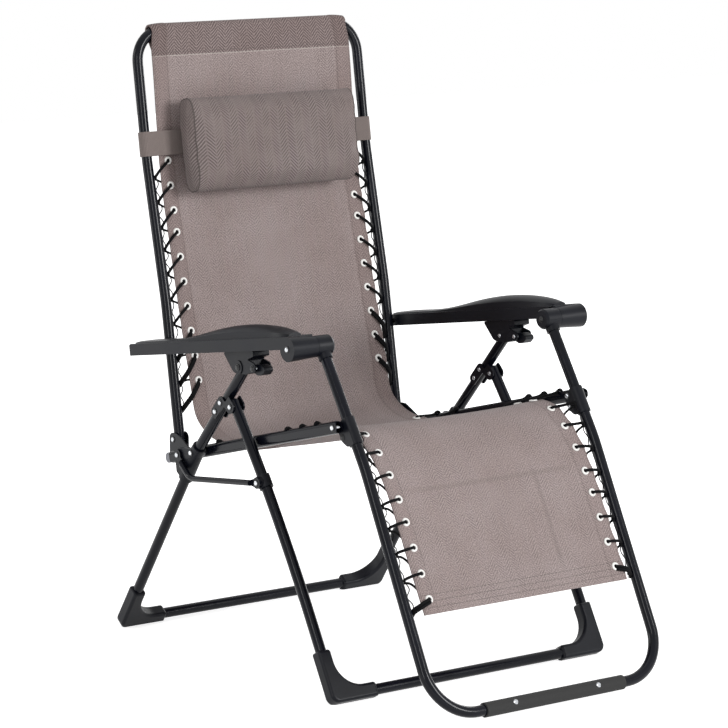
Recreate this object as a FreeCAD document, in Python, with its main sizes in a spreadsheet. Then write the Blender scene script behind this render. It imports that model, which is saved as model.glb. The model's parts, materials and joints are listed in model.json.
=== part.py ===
"""Zero gravity recliner: a folding tube frame chair with a laced sling seat.

Millimetres.  +Z up, the sitter faces -Y, and the sitter's right hand is on -X.
The origin is on the floor, below the middle of the chair.
Every driving size is a cell of the sheet "Sizes"; everything else is worked out from them.
"""
import FreeCAD, Part
import math
import os
import Sketcher
from FreeCAD import Placement, Rotation, Vector

SIZES = [
    # tube stock and fits
    ("tube_diameter", 19.0, "round frame tube"),
    ("tube_wall", 1.2, "wall of the frame tubes"),
    ("tube_fit", 0.15, "clearance round a tube in what grips it"),
    ("running_gap", 0.5, "gap between neighbours that move"),
    ("pin_diameter", 6.0, "shank of every pivot rivet"),
    ("pin_fit", 0.05, "radial clearance of a pin in its bore"),
    ("head_diameter", 12.0, "rivet head"),
    ("head_rise", 3.2, "height of a rivet head"),
    ("sheet_metal", 2.5, "thickness of the steel brackets"),
    # half widths, measured from the middle plane
    ("back_half_width", 242.0, "axis of the back tubes"),
    ("footrest_half_width", 245.0, "axis of the footrest tubes"),
    ("rail_half_width", 263.5, "middle of the seat rails"),
    ("legs_half_width", 283.5, "axis of the leg tubes"),
    ("armrest_inner_x", 255.5, "inner side of the armrest"),
    ("armrest_outer_x", 315.0, "outer side of the armrest"),
    # rear leg frame
    ("foot_height", 12.6, "axis of the floor tubes above the floor"),
    ("foot_bend_radius", 60.0, "bend between a leg and its floor tube"),
    ("rear_foot_y", 446.0, "axis of the rear floor tube"),
    ("rail_pivot_y", 198.0, "pivot of the seat rail on the rear leg"),
    ("rail_pivot_z", 365.0, ""),
    ("lock_pivot_y", 39.0, "pivot of the lock block on top of the rear leg"),
    ("lock_pivot_z", 540.0, ""),
    ("rear_leg_bend_radius", 320.0, "gentle bend of the rear leg at the rail pivot"),
    # front leg frame
    ("front_foot_y", -218.0, "axis of the front floor tube"),
    ("leg_hinge_y", 74.0, "hinge between front and rear legs"),
    ("leg_hinge_z", 465.0, ""),
    ("front_leg_bend_y", -56.0, "where the two straights of the front leg would meet"),
    ("front_leg_bend_z", 296.5, ""),
    ("front_leg_bend_reach", 204.0, "from there to either end of the long bend"),
    ("front_leg_end", 9.0, "tube beyond the hinge"),
    ("bracket_rivet_distance", 97.0, "from the lock pivot to the leg bracket's first rivet"),
    ("bracket_rivet_pitch", 24.0, ""),
    # boots
    ("boot_wall", 3.1, "wall of a boot round its tube"),
    ("boot_corner_radius", 15.0, "outer corner of a boot"),
    ("boot_leg_length", 81.0, "boot along the leg"),
    ("boot_floor_length", 82.0, "boot along the floor tube"),
    ("boot_web_radius", 46.0, "hollow curve of the boot's web"),
    # collar and brace
    ("sleeve_above", 15.0, "sleeve of the rail pivot, up the leg"),
    ("sleeve_below", 64.0, "and down the leg"),
    ("sleeve_wall", 3.6, ""),
    ("collar_distance", 147.0, "from the leg hinge to the collar along the front leg"),
    ("collar_length", 23.0, ""),
    ("collar_wall", 3.0, ""),
    ("brace_pivot_y", 236.0, "pivot of the brace behind the rear leg"),
    ("brace_pivot_z", 356.0, ""),
    ("brace_dip_y", 44.0, "lowest corner of the brace in front of its pivot"),
    ("brace_dip_z", 35.0, "and below it"),
    ("brace_diameter", 10.5, "round rod"),
    ("brace_eye_thickness", 4.0, "flattened ends of the rod"),
    ("brace_eye_diameter", 20.0, ""),
    # seat rails and the bracket at their rear end
    ("rail_height", 22.0, "flat oval tube"),
    ("rail_thickness", 15.0, ""),
    ("rail_rear_reach", 114.0, "rail behind its pivot"),
    ("rail_front_y", -196.0, "footrest pivot at the front of the rail"),
    ("rail_front_z", 467.0, ""),
    ("back_pivot_y", 318.0, "back pivot above the rear end of the rail"),
    ("back_pivot_z", 366.0, ""),
    ("bumper_diameter", 19.0, "nylon bumper at the rail's rear end"),
    # back frame
    ("back_end_drop", 11.0, "tube below the back pivot"),
    ("back_low_bend_y", 358.5, ""),
    ("back_low_bend_z", 610.0, ""),
    ("back_high_bend_y", 416.0, ""),
    ("back_high_bend_z", 860.0, ""),
    ("back_top_y", 451.0, ""),
    ("back_top_z", 1088.0, "axis of the top tube"),
    ("back_bend_radius", 500.0, "gentle bends of the back"),
    ("back_corner_radius", 58.0, ""),
    # footrest frame
    ("armrest_pivot_y", -129.0, "top of the footrest tubes, front of the armrests"),
    ("armrest_pivot_z", 594.0, ""),
    ("footrest_bend_y", -254.0, ""),
    ("footrest_bend_z", 402.0, ""),
    ("footrest_bend_radius", 380.0, ""),
    ("foot_bar_y", -450.0, "axis of the bar at the end of the footrest"),
    ("foot_bar_z", 20.0, ""),
    ("foot_bar_corner_radius", 84.0, ""),
    ("foot_pad_half_length", 148.0, "grip on the foot bar"),
    ("foot_pad_wall", 3.0, ""),
    ("ear_length", 48.0, "ear moulding along the footrest tube"),
    ("ear_wall", 2.6, ""),
    # armrests
    ("armrest_rear_y", 365.0, "rear end"),
    ("armrest_slope", 0.155, "rise of the armrest towards the front, per length"),
    ("armrest_height", 21.0, "side wall, and radius of the barrel's outer end"),
    ("knuckle_radius", 18.0, "knuckle, and the barrel where they meet"),
    ("armrest_wall", 3.0, ""),
    ("barrel_seam_x", 261.0, "between barrel and knuckle"),
    ("knuckle_inner_x", 228.0, ""),
    ("guide_width", 9.0, "steel guide under the armrest"),
    ("pad_inset", 6.5, "palm pad inside the armrest's edge"),
    ("pad_low", 4.5, "height of the pad's flat rear part"),
    ("pad_crest", 22.5, "height of the palm rest above the armrest"),
    ("armrest_bolt_distance", 166.0, "bolt between armrest and back tube, above the back pivot"),
    # lock block
    ("block_inner_x", 266.5, ""),
    ("block_outer_x", 300.0, ""),
    ("block_front_reach", 48.0, "top of the block in front of its pivot"),
    ("block_rear_reach", 44.0, "top of the block behind its pivot"),
    ("lever_pin_reach", 42.0, "pin of the lock lever in front of the block's pivot"),
    ("lever_pin_drop", 3.0, "and below it"),
    ("lever_length", 25.0, "lock lever from its pin to its tip"),
    ("lever_width", 18.0, ""),
    # sling
    ("sling_thickness", 2.4, "doubled textile"),
    ("sling_half_width", 218.0, ""),
    ("sleeve_half_width", 210.0, "sleeve of the sling over the top tube"),
    ("eyelet_half_width", 200.0, ""),
    ("eyelet_diameter", 15.0, ""),
    ("eyelet_bore", 7.0, ""),
    ("eyelet_height", 1.2, "above the cloth"),
    ("eyelet_pitch", 44.5, ""),
    ("lace_diameter", 5.0, "round elastic lacing"),
    ("leg_eyelet_margin", 24.0, "from the last eyelet to the bottom hem"),
    ("lace_lead", 24.0, "a strand reaches the back tube this much further down the cloth"),
    ("leg_lace_lead", 6.0, "and the footrest tube this much"),
    ("lace_gap", 0.3, ""),
    # head pillow
    ("pillow_half_width", 186.0, ""),
    ("pillow_height", 174.0, ""),
    ("pillow_thickness", 62.0, ""),
    ("pillow_drop", 208.4, "middle of the pillow below the top tube, along the back"),
    ("pillow_stand_off", 12.4, "back of the pillow in front of the back tubes' axes"),
    ("strap_width", 38.0, "elastic pillow straps"),
    ("strap_thickness", 1.6, ""),
]

doc = FreeCAD.newDocument("zero_gravity_recliner")
sheet = doc.addObject("Spreadsheet::Sheet", "Sizes")
for row, (alias, number, meaning) in enumerate(SIZES, start=1):
    sheet.set("A%d" % row, str(number))
    sheet.set("B%d" % row, alias)
    sheet.set("C%d" % row, meaning)
    sheet.setAlias("A%d" % row, alias)
doc.recompute()


def size(alias):
    """Value of one cell of the sheet."""
    return float(sheet.get(alias))


AXIS_X = Vector(1, 0, 0)
RIGHTWARD = Vector(-1, 0, 0)
UP = Vector(0, 0, 1)
SIDE = Rotation(Vector(0, 1, 0), Vector(0, 0, 1), Vector(1, 0, 0), "ZXY")
tube_radius = size("tube_diameter") / 2
pin_radius = size("pin_diameter") / 2
legs_x = size("legs_half_width")
leg_inner = legs_x - tube_radius
leg_outer = legs_x + tube_radius
rail_inner = size("rail_half_width") - size("rail_thickness") / 2
rail_outer = size("rail_half_width") + size("rail_thickness") / 2
kept = []


# ---------------------------------------------------------------- helpers

def keep(shape_object, label):
    """Give a finished sub-part its node name."""
    shape_object.Label = label
    kept.append(shape_object)
    return shape_object


def bind(target, **expressions):
    """Tie properties of an object to cells of the sheet."""
    for name, expression in expressions.items():
        target.setExpression(name, expression)
    return target


def cell(text):
    """Expression text with every known alias prefixed by the sheet's name."""
    words = text.split(" ")
    known = {alias for alias, _, _ in SIZES}
    return " ".join("Sizes." + word if word in known else word for word in words)


def rounded(corners, radii, closed=False):
    """Lines and tangent arcs through a list of corners, as sketch or wire geometry."""
    count = len(corners)
    entries, exits, middles = [], [], []
    for index, corner in enumerate(corners):
        radius = radii[index]
        if radius <= 0 or (not closed and index in (0, count - 1)):
            entries.append(corner)
            exits.append(corner)
            middles.append(None)
            continue
        before = (corners[index - 1] - corner).normalize()
        after = (corners[(index + 1) % count] - corner).normalize()
        half = before.getAngle(after) / 2
        reach = radius / math.tan(half)
        entries.append(corner + before * reach)
        exits.append(corner + after * reach)
        inward = (before + after).normalize()
        middles.append(corner + inward * (radius / math.sin(half) - radius))
    geometry = []
    for index in range(count):
        if middles[index] is not None:
            geometry.append(Part.Arc(entries[index], middles[index], exits[index]))
        following = (index + 1) % count
        if (closed or following) and (exits[index] - entries[following]).Length > 1e-6:
            geometry.append(Part.LineSegment(exits[index], entries[following]))
    return geometry


def path(label, corners, radii):
    """An axis made of straight runs joined by tangent arcs."""
    axis = doc.addObject("Part::Feature", label)
    axis.Shape = Part.Wire([piece.toShape() for piece in rounded(corners, radii)])
    return axis


def swept(label, axis, start, towards, radius):
    """A round bar along an axis: radius is an expression on the sheet."""
    ring = bind(doc.addObject("Part::Circle", label + "_section"), Radius=cell(radius))
    ring.Placement = Placement(start, Rotation(UP, towards - start))
    sweep = doc.addObject("Part::Sweep", label)
    sweep.Sections = [ring]
    sweep.Spine = (axis, ["Edge%d" % (number + 1) for number in range(len(axis.Shape.Edges))])
    sweep.Solid = True
    sweep.Frenet = False
    return sweep


def cut(label, base, tools):
    """Base less one or more tools."""
    result = doc.addObject("Part::Cut", label)
    result.Base = base
    result.Tool = tools[0] if len(tools) == 1 else joined(label + "_tools", tools)
    return result


def joined(label, pieces):
    """Several pieces made one."""
    result = doc.addObject("Part::MultiFuse", label)
    result.Shapes = pieces
    result.Refine = True
    return result


def group(label, pieces):
    """Separate solids that share one node."""
    result = doc.addObject("Part::Compound", label)
    result.Links = pieces
    return result


def mirrored(source, label):
    """The same piece on the sitter's left."""
    result = doc.addObject("Part::Mirroring", label)
    result.Source = source
    result.Base = Vector(0, 0, 0)
    result.Normal = AXIS_X
    return result


def keep_pair(source, name):
    """Keep a piece of the right side and its mirror image on the left."""
    keep(source, name + "_right")
    keep(mirrored(source, name + "_left_mirror"), name + "_left")


def keep_both(source, name):
    """Keep a piece of the right side and its mirror image as one node."""
    keep(group(name + "_set", [source, mirrored(source, name + "_mirror")]), name)


def bar(label, start, towards, radius, length):
    """A cylinder from start, pointing towards a direction; sizes are expressions."""
    rod = bind(doc.addObject("Part::Cylinder", label), Radius=cell(radius), Height=cell(length))
    rod.Placement = Placement(start, Rotation(UP, towards))
    return rod


def block(label, low, high, placement=None):
    """A box between two corners of a local frame."""
    box = doc.addObject("Part::Box", label)
    box.Length = high.x - low.x
    box.Width = high.y - low.y
    box.Height = high.z - low.z
    box.Placement = (placement or Placement()).multiply(Placement(low, Rotation()))
    return box


def shank(label, inner_x, outer_x, y, z, radius="pin_diameter / 2"):
    """A pin across the chair on its right side, from inner_x to outer_x."""
    rod = bind(doc.addObject("Part::Cylinder", label), Radius=cell(radius))
    rod.Height = outer_x - inner_x
    rod.Placement = Placement(Vector(-inner_x, y, z), Rotation(UP, RIGHTWARD))
    return rod


def bore(label, inner_x, outer_x, y, z, running=False):
    """The hole for such a pin, a little longer than the wall that it goes through."""
    fit = "pin_diameter / 2 + pin_fit" + (" + pin_fit" if running else "")
    return shank(label, inner_x - 1, outer_x + 1, y, z, fit)


def head(label, seat_x, y, z, outward=True):
    """A low domed rivet head seated on a face at seat_x on the right side."""
    dome = doc.addObject("Part::Cone", label)
    bind(dome, Radius1=cell("head_diameter / 2"), Radius2=cell("head_diameter * 0.27"),
         Height=cell("head_rise"))
    towards = Vector(-1 if outward else 1, 0, 0)
    dome.Placement = Placement(Vector(-seat_x, y, z), Rotation(UP, towards))
    return dome


def rivet(label, inner_x, outer_x, y, z, inner_head=False):
    """A rivet through walls from inner_x to outer_x, with its head outside."""
    pieces = [shank(label + "_shank", inner_x, outer_x, y, z), head(label + "_head", outer_x, y, z)]
    if inner_head:
        pieces.append(head(label + "_tail", inner_x, y, z, outward=False))
    return joined(label, pieces)


def plate(label, corners, radii, inner_x, outer_x, holes=()):
    """A side plate on the right: an outline in Y and Z, pressed or cut from sheet."""
    body = doc.addObject("PartDesign::Body", label)
    sketch = outline(body, label, [Vector(y, z, 0) for y, z in corners], radii, holes)
    pad = body.newObject("PartDesign::Pad", label + "_pad")
    pad.Profile = sketch
    pad.Length = outer_x - inner_x
    body.Placement = Placement(Vector(-outer_x, 0, 0), SIDE)
    return body


def outline(body, label, corners, radii, holes=()):
    """A closed sketch of lines and tangent arcs on a body's XY plane, with round holes."""
    sketch = body.newObject("Sketcher::SketchObject", label + "_outline")
    flat = [entry for entry in body.Origin.OriginFeatures if entry.Role == "XY_Plane"][0]
    sketch.AttachmentSupport = [(flat, "")]
    sketch.MapMode = "FlatFace"
    geometry = rounded(corners, radii, closed=True)
    geometry += [Part.Circle(Vector(x, y, 0), UP, radius) for x, y, radius in holes]
    sketch.addGeometry(geometry, False)
    for number in range(len(geometry)):
        sketch.addConstraint(Sketcher.Constraint("Block", number))
    return sketch


def frame_corners(half_width, side_points):
    """Corners of a tube frame: down the right side, across, and up the left side."""
    right = [Vector(-half_width, y, z) for y, z in side_points]
    left = [Vector(half_width, y, z) for y, z in reversed(side_points)]
    return right + left


def tube_frame(label, corners, radii, holes):
    """A bent tube frame, hollow, with its rivet holes; returns the frame and its gripping tool."""
    axis = path(label + "_axis", corners, radii)
    outside = swept(label + "_outside", axis, corners[0], corners[1], "tube_diameter / 2")
    inside = swept(label + "_inside", axis, corners[0], corners[1], "tube_diameter / 2 - tube_wall")
    grip = swept(label + "_grip", axis, corners[0], corners[1], "tube_diameter / 2 + tube_fit")
    return cut(label, outside, [inside] + holes), grip


def toward(start, end):
    """Unit vector from one side point to another, in the plane of the chair's side."""
    return (Vector(0, end[0], end[1]) - Vector(0, start[0], start[1])).normalize()


def along(start, end, distance):
    """Side point at a distance from start towards end."""
    step = toward(start, end) * distance
    return start[0] + step.y, start[1] + step.z


def both_sides(tools):
    """The same cutting tools on both sides of the chair."""
    return tools + [mirrored(tool, tool.Name + "_other") for tool in tools]


# ---------------------------------------------------------------- places in the side view

rail_pivot = (size("rail_pivot_y"), size("rail_pivot_z"))
lock_pivot = (size("lock_pivot_y"), size("lock_pivot_z"))
leg_hinge = (size("leg_hinge_y"), size("leg_hinge_z"))
brace_pivot = (size("brace_pivot_y"), size("brace_pivot_z"))
back_pivot = (size("back_pivot_y"), size("back_pivot_z"))
rail_front = (size("rail_front_y"), size("rail_front_z"))
armrest_pivot = (size("armrest_pivot_y"), size("armrest_pivot_z"))
rear_foot = (size("rear_foot_y"), size("foot_height"))
front_foot = (size("front_foot_y"), size("foot_height"))
front_bend = (size("front_leg_bend_y"), size("front_leg_bend_z"))
footrest_bend = (size("footrest_bend_y"), size("footrest_bend_z"))
foot_bar = (size("foot_bar_y"), size("foot_bar_z"))

# the front leg's long bend is one arc that runs equally far each way from the corner
bend_turn = toward(leg_hinge, front_bend).getAngle(toward(front_bend, front_foot))
front_bend_radius = size("front_leg_bend_reach") / math.tan(bend_turn / 2)
bend_normal = Vector(0, -toward(leg_hinge, front_bend).z, toward(leg_hinge, front_bend).y)
bend_start = along(front_bend, leg_hinge, size("front_leg_bend_reach"))
bend_centre = (bend_start[0] + bend_normal.y * front_bend_radius,
               bend_start[1] + bend_normal.z * front_bend_radius)


def on_front_leg(distance):
    """Side point and downward direction on the front leg, at a distance from the leg hinge."""
    straight = math.dist(leg_hinge, bend_start)
    turned = (distance - straight) / front_bend_radius
    start = Vector(0, bend_start[0] - bend_centre[0], bend_start[1] - bend_centre[1])
    spun = Rotation(AXIS_X, math.degrees(turned)).multVec(start)
    direction = Rotation(AXIS_X, math.degrees(turned)).multVec(toward(leg_hinge, front_bend))
    return (bend_centre[0] + spun.y, bend_centre[1] + spun.z), direction


# ---------------------------------------------------------------- frames

def rear_legs():
    """Rear leg frame: from the lock blocks down to the rear floor tube."""
    top = along(lock_pivot, rail_pivot, -12)
    corners = frame_corners(legs_x, [top, rail_pivot, rear_foot])
    gentle, foot = size("rear_leg_bend_radius"), size("foot_bend_radius")
    holes = both_sides([
        bore("rear_leg_rail_bore", leg_inner, leg_outer, *rail_pivot),
        bore("rear_leg_lock_bore", leg_inner, leg_outer, *lock_pivot),
        bore("rear_leg_upper_rivet_bore", leg_inner, leg_outer, *bracket_rivets()[0]),
        bore("rear_leg_lower_rivet_bore", leg_inner, leg_outer, *bracket_rivets()[1]),
    ])
    frame, grip = tube_frame("rear_leg_frame", corners, [0, gentle, foot, foot, gentle, 0], holes)
    keep(frame, "rear_leg_frame")
    boots("rear_boot", rear_foot, rail_pivot, grip)
    return grip


def front_legs():
    """Front leg frame, hinged to the rear legs below the armrests."""
    end = size("front_leg_end")
    top = along(leg_hinge, front_bend, -end)
    corners = frame_corners(legs_x, [top, front_bend, front_foot])
    foot = size("foot_bend_radius")
    holes = both_sides([bore("front_leg_hinge_bore", leg_inner, leg_outer, *leg_hinge)])
    radii = [0, front_bend_radius, foot, foot, front_bend_radius, 0]
    frame, grip = tube_frame("front_leg_frame", corners, radii, holes)
    keep(frame, "front_leg_frame")
    boots("front_boot", front_foot, front_bend, grip)
    end_cap("front_leg_caps", legs_x, top, along(leg_hinge, front_bend, -end - 1))
    return grip


def end_cap(name, half_width, end, beyond):
    """Plastic plug with a domed cap in the open end of a tube."""
    out = toward(end, beyond)
    start = Vector(-half_width, *end)
    plug_length = size("front_leg_end") - pin_radius - 1
    plug = bar(name + "_plug", start - out * plug_length, out,
               "tube_diameter / 2 - tube_wall - tube_fit", str(plug_length))
    cap = doc.addObject("Part::Cone", name + "_cap")
    bind(cap, Radius1=cell("tube_diameter / 2"), Radius2=cell("tube_diameter * 0.38"))
    cap.Height = 3
    cap.Placement = Placement(start, Rotation(UP, out))
    keep_both(joined(name + "_whole", [plug, cap]), name)


def boots(name, foot, above, grip):
    """Corner boots: a shell round the bent tube with a hollow-curved web in the corner."""
    lift = toward(foot, above)
    half_depth = tube_radius + size("boot_wall")
    outer = half_depth
    leg, floor = size("boot_leg_length"), size("boot_floor_length")
    inner = tube_radius + size("boot_wall")
    corners = [Vector(-outer, -outer, 0), Vector(floor, -outer, 0), Vector(floor, inner, 0),
               Vector(inner, inner, 0), Vector(inner, leg, 0), Vector(-outer, leg, 0)]
    radii = [size("boot_corner_radius"), 3, 5, size("boot_web_radius"), 5, 3]
    body = doc.addObject("PartDesign::Body", name + "_moulding")
    sketch = outline(body, name, corners, radii)
    pad = body.newObject("PartDesign::Pad", name + "_pad")
    pad.Profile = sketch
    pad.Length = 2 * half_depth
    doc.recompute()
    rims = [edge for edge in range(len(pad.Shape.Edges))
            if abs(pad.Shape.Edges[edge].CenterOfMass.z - half_depth) > half_depth - 0.01]
    rounding = body.newObject("PartDesign::Fillet", name + "_rounding")
    rounding.Base = (pad, ["Edge%d" % (edge + 1) for edge in rims])
    rounding.Radius = size("boot_wall") * 1.8
    body.Tip = rounding
    across = Vector(1, 0, 0)
    normal = across.cross(lift)
    origin = Vector(-legs_x, foot[0], foot[1]) - normal * half_depth
    body.Placement = Placement(origin, Rotation(across, lift, normal, "ZXY"))
    floor_cut = block(name + "_floor", Vector(-600, foot[0] - 200, -60), Vector(0, foot[0] + 200, 0))
    keep_pair(cut(name + "_right", body, [grip, floor_cut]), name)


# ---------------------------------------------------------------- rear leg fittings

def bracket_rivets():
    """The two rivets that fix the leg bracket to the rear leg."""
    first = size("bracket_rivet_distance")
    second = first + size("bracket_rivet_pitch")
    return along(lock_pivot, rail_pivot, first), along(lock_pivot, rail_pivot, second)


def leg_brackets():
    """Steel cheeks on both sides of the rear leg that carry the hinge of the front leg."""
    upper, lower = bracket_rivets()
    down = toward(lock_pivot, rail_pivot)
    ahead = Vector(0, -abs(down.z), -abs(down.y))
    sheet_metal = size("sheet_metal")
    inner_cheek = leg_inner - size("tube_fit")
    outer_cheek = leg_outer + size("tube_fit")

    def local(distance, forward):
        point = Vector(0, *upper) + down * distance + ahead * forward
        return point.y, point.z

    hinge = Vector(0, leg_hinge[0] - upper[0], leg_hinge[1] - upper[1])
    reach = hinge.dot(ahead)
    depth = hinge.dot(down)
    low, lobe = size("bracket_rivet_pitch") + tube_radius * 1.2, tube_radius * 1.15
    corners = [local(-tube_radius * 1.25, -tube_radius), local(low, -tube_radius),
               local(low, tube_radius), local(depth + lobe * 1.3, tube_radius * 1.1),
               local(depth + lobe, reach + lobe), local(depth - lobe, reach + lobe),
               local(depth - lobe, tube_radius), local(-tube_radius * 1.25, tube_radius)]
    radii = [share * tube_radius for share in (0.9, 0.9, 0.5, 0.3, 1.1, 1.1, 0.3, 0.5)]
    hole = pin_radius + size("pin_fit")
    holes = [(y, z, hole) for y, z in (upper, lower, leg_hinge)]
    inner = plate("leg_bracket_inner", corners, radii, inner_cheek - sheet_metal, inner_cheek, holes)
    outer = plate("leg_bracket_outer", corners, radii, outer_cheek, outer_cheek + sheet_metal, holes)
    keep_both(group("leg_bracket_cheeks", [inner, outer]), "leg_brackets")
    rivets = [rivet("leg_bracket_rivet_%d" % number, inner_cheek - sheet_metal,
                    outer_cheek + sheet_metal, *place)
              for number, place in enumerate((upper, lower))]
    keep_both(group("leg_bracket_rivet_pair", rivets), "leg_bracket_rivets")
    hinge_pin = rivet("leg_hinge_rivet", inner_cheek - sheet_metal, outer_cheek + sheet_metal,
                      *leg_hinge)
    keep_both(hinge_pin, "leg_hinge_rivets")


def pivot_sleeves(grip):
    """Plastic sleeve round the rear leg at the rail pivot, with an ear for the brace."""
    above = along(rail_pivot, lock_pivot, size("sleeve_above"))
    below = along(rail_pivot, rear_foot, size("sleeve_below"))
    outer_radius = "tube_diameter / 2 + sleeve_wall"
    upper = bar("pivot_sleeve_upper", Vector(-legs_x, *rail_pivot),
                toward(rail_pivot, above), outer_radius, "sleeve_above")
    lower = bar("pivot_sleeve_lower", Vector(-legs_x, *rail_pivot),
                toward(rail_pivot, below), outer_radius, "sleeve_below")
    knee = bind(doc.addObject("Part::Sphere", "pivot_sleeve_knee"), Radius=cell(outer_radius))
    knee.Placement.Base = Vector(-legs_x, *rail_pivot)
    down = toward(rail_pivot, rear_foot)
    ahead = Vector(0, -abs(down.z), -abs(down.y))

    def local(distance, forward):
        point = Vector(0, *rail_pivot) + down * distance + ahead * forward
        return point.y, point.z

    brace = Vector(0, brace_pivot[0] - rail_pivot[0], brace_pivot[1] - rail_pivot[1])
    away, depth = -brace.dot(ahead), brace.dot(down)
    corners = [local(-8, 0), local(depth - 11, -away - 9), local(depth + 11, -away - 9),
               local(size("sleeve_below") - 4, -15), local(size("sleeve_below") - 4, 0)]
    ear = plate("pivot_sleeve_ear", corners, [3, 9.5, 9.5, 4, 3], leg_outer - 2, sleeve_face)
    whole = joined("pivot_sleeve_whole", [upper, lower, knee, ear])
    rail_side = block("pivot_sleeve_rail_side",
                      Vector(-leg_inner - 0.4, rail_pivot[0] - 90, rail_pivot[1] - 90),
                      Vector(-leg_inner + 60, rail_pivot[0] + 90, rail_pivot[1] + 90))
    holes = [bore("pivot_sleeve_rail_bore", leg_inner - 9, sleeve_face, *rail_pivot),
             bore("pivot_sleeve_brace_bore", leg_outer - 4, sleeve_face, *brace_pivot)]
    keep_pair(cut("pivot_sleeve_right", whole, [grip, rail_side] + holes), "pivot_sleeve")
    rail_pin = rivet("rail_pivot_rivet", rail_inner, sleeve_face, *rail_pivot, inner_head=True)
    keep_both(rail_pin, "rail_pivot_rivets")
    brace_pin = rivet("brace_pivot_rivet", leg_outer - 1.5, eye_outer, *brace_pivot)
    keep_both(brace_pin, "brace_pivot_rivets")


# ---------------------------------------------------------------- collar and brace

# the eyes of the brace bear on the faces of the sleeve and the collar
sleeve_face = leg_outer + size("sleeve_wall")
eye_inner = sleeve_face + size("tube_fit")
eye_outer = eye_inner + size("brace_eye_thickness")
brace_x = sleeve_face + size("running_gap") + size("brace_diameter") / 2


def collar_point():
    """Brace rivet on the outer side of the collar."""
    return on_front_leg(size("collar_distance"))[0]


def collars(grip):
    """Plastic collar that slides on the front leg, with the boss that the brace is riveted to."""
    centre, direction = on_front_leg(size("collar_distance"))
    half = direction * (size("collar_length") / 2)
    start = Vector(-legs_x, *centre) - half
    ring = bar("collar_ring", start, direction, "tube_diameter / 2 + collar_wall", "collar_length")
    hollow = bar("collar_hollow", start - direction * 2, direction,
                 "tube_diameter / 2 + running_gap", "collar_length + 4")
    boss = shank("collar_boss", legs_x, sleeve_face, *collar_point(),
                 radius="brace_eye_diameter / 2 + 0.5")
    whole = joined("collar_whole", [ring, boss])
    pin_bore = bore("collar_bore", leg_outer + 1, sleeve_face, *collar_point())
    keep_pair(cut("collar_right", whole, [hollow, pin_bore]), "collar")


def braces():
    """Bent rod from the rear leg's ear to the collar, with flattened ends."""
    eye_radius = size("brace_eye_diameter") / 2
    front = collar_point()
    start = Vector(-brace_x, *brace_pivot)
    end = Vector(-brace_x, *front)
    dip = start - Vector(0, size("brace_dip_y"), size("brace_dip_z"))
    axis = path("brace_axis", [start, dip, end], [0, 30, 0])
    rod = swept("brace_rod", axis, start, dip, "brace_diameter / 2")
    wide = size("brace_eye_diameter") + 12
    trims, eyes, holes = [], [], []
    for number, place in enumerate((start, end)):
        for face, low in (("outer", -eye_outer - 20), ("inner", -eye_inner)):
            trims.append(block("brace_flat_%s_%d" % (face, number),
                               Vector(low, place.y - wide / 2, place.z - wide / 2),
                               Vector(low + 20, place.y + wide / 2, place.z + wide / 2)))
        eyes.append(shank("brace_eye_%d" % number, eye_inner, eye_outer, place.y, place.z,
                          radius="brace_eye_diameter / 2"))
    flattened = cut("brace_flattened", rod, trims)
    reach = toward(front, (dip.y, dip.z)) * (wide / 2)
    away = Vector(0, -reach.z, reach.y).normalize()
    tip, root = Vector(0, *front), Vector(0, *front) + reach
    half_rod = size("brace_diameter") / 2
    fan = [tip + away * (eye_radius - 1), root + away * half_rod,
           root - away * half_rod, tip - away * (eye_radius - 1)]
    web = plate("brace_web", [(point.y, point.z) for point in fan], [0, 0, 0, 0],
                eye_inner, eye_outer)
    whole = joined("brace_whole", [flattened, web] + eyes)
    holes = [bore("brace_rear_bore", eye_inner, eye_outer, *brace_pivot, running=True),
             bore("brace_front_bore", eye_inner, eye_outer, *front)]
    keep_pair(cut("brace_right", whole, holes), "brace")
    # it ends at the collar's face: part-way through the fold the coupled brace strays from its bore
    keep_both(rivet("brace_end_rivet", eye_inner, eye_outer, *front), "brace_end_rivets")


# ---------------------------------------------------------------- seat rails

rail_run = toward(rail_front, rail_pivot)
rail_normal = Vector(0, -rail_run.z, rail_run.y)


def on_rail(distance, above=0.0):
    """Side point at a distance behind the rail's pivot and above its axis."""
    point = Vector(0, *rail_pivot) + rail_run * distance + rail_normal * above
    return point.y, point.z


def seat_rails():
    """Flat oval rail: an extruded oval tube whose front end is rounded about the footrest pivot."""
    front_distance = -math.dist(rail_pivot, rail_front)
    half_height = size("rail_height") / 2
    rear = size("rail_rear_reach")
    length = rear - front_distance + half_height
    start = Vector(-size("rail_half_width"), *on_rail(front_distance - half_height))
    tubes = []
    for label, wall in (("rail_outside", 0.0), ("rail_inside", 1.5)):
        body = doc.addObject("PartDesign::Body", label)
        across = size("rail_thickness") / 2 - wall
        tall = half_height - wall
        corners = [Vector(-across, -tall, 0), Vector(across, -tall, 0),
                   Vector(across, tall, 0), Vector(-across, tall, 0)]
        sketch = outline(body, label, corners, [across - 0.01] * 4)
        pad = body.newObject("PartDesign::Pad", label + "_pad")
        pad.Profile = sketch
        pad.Length = length
        body.Placement = Placement(start, Rotation(RIGHTWARD, rail_normal, rail_run, "ZXY"))
        tubes.append(body)
    ends = plate("rail_ends",
                 [on_rail(front_distance - half_height, -half_height),
                  on_rail(rear, -half_height), on_rail(rear, half_height),
                  on_rail(front_distance - half_height, half_height)],
                 [half_height - 0.1, 4, 4, half_height - 0.1], rail_inner - 1, rail_outer + 1)
    shaped = doc.addObject("Part::Common", "rail_shaped")
    shaped.Base = tubes[0]
    shaped.Tool = ends
    holes = [bore("rail_leg_bore", rail_inner, rail_outer, *rail_pivot, running=True),
             bore("rail_front_bore", rail_inner, rail_outer, *rail_front)]
    keep_pair(cut("seat_rail_right", shaped, [tubes[1]] + holes), "seat_rail")


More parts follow.
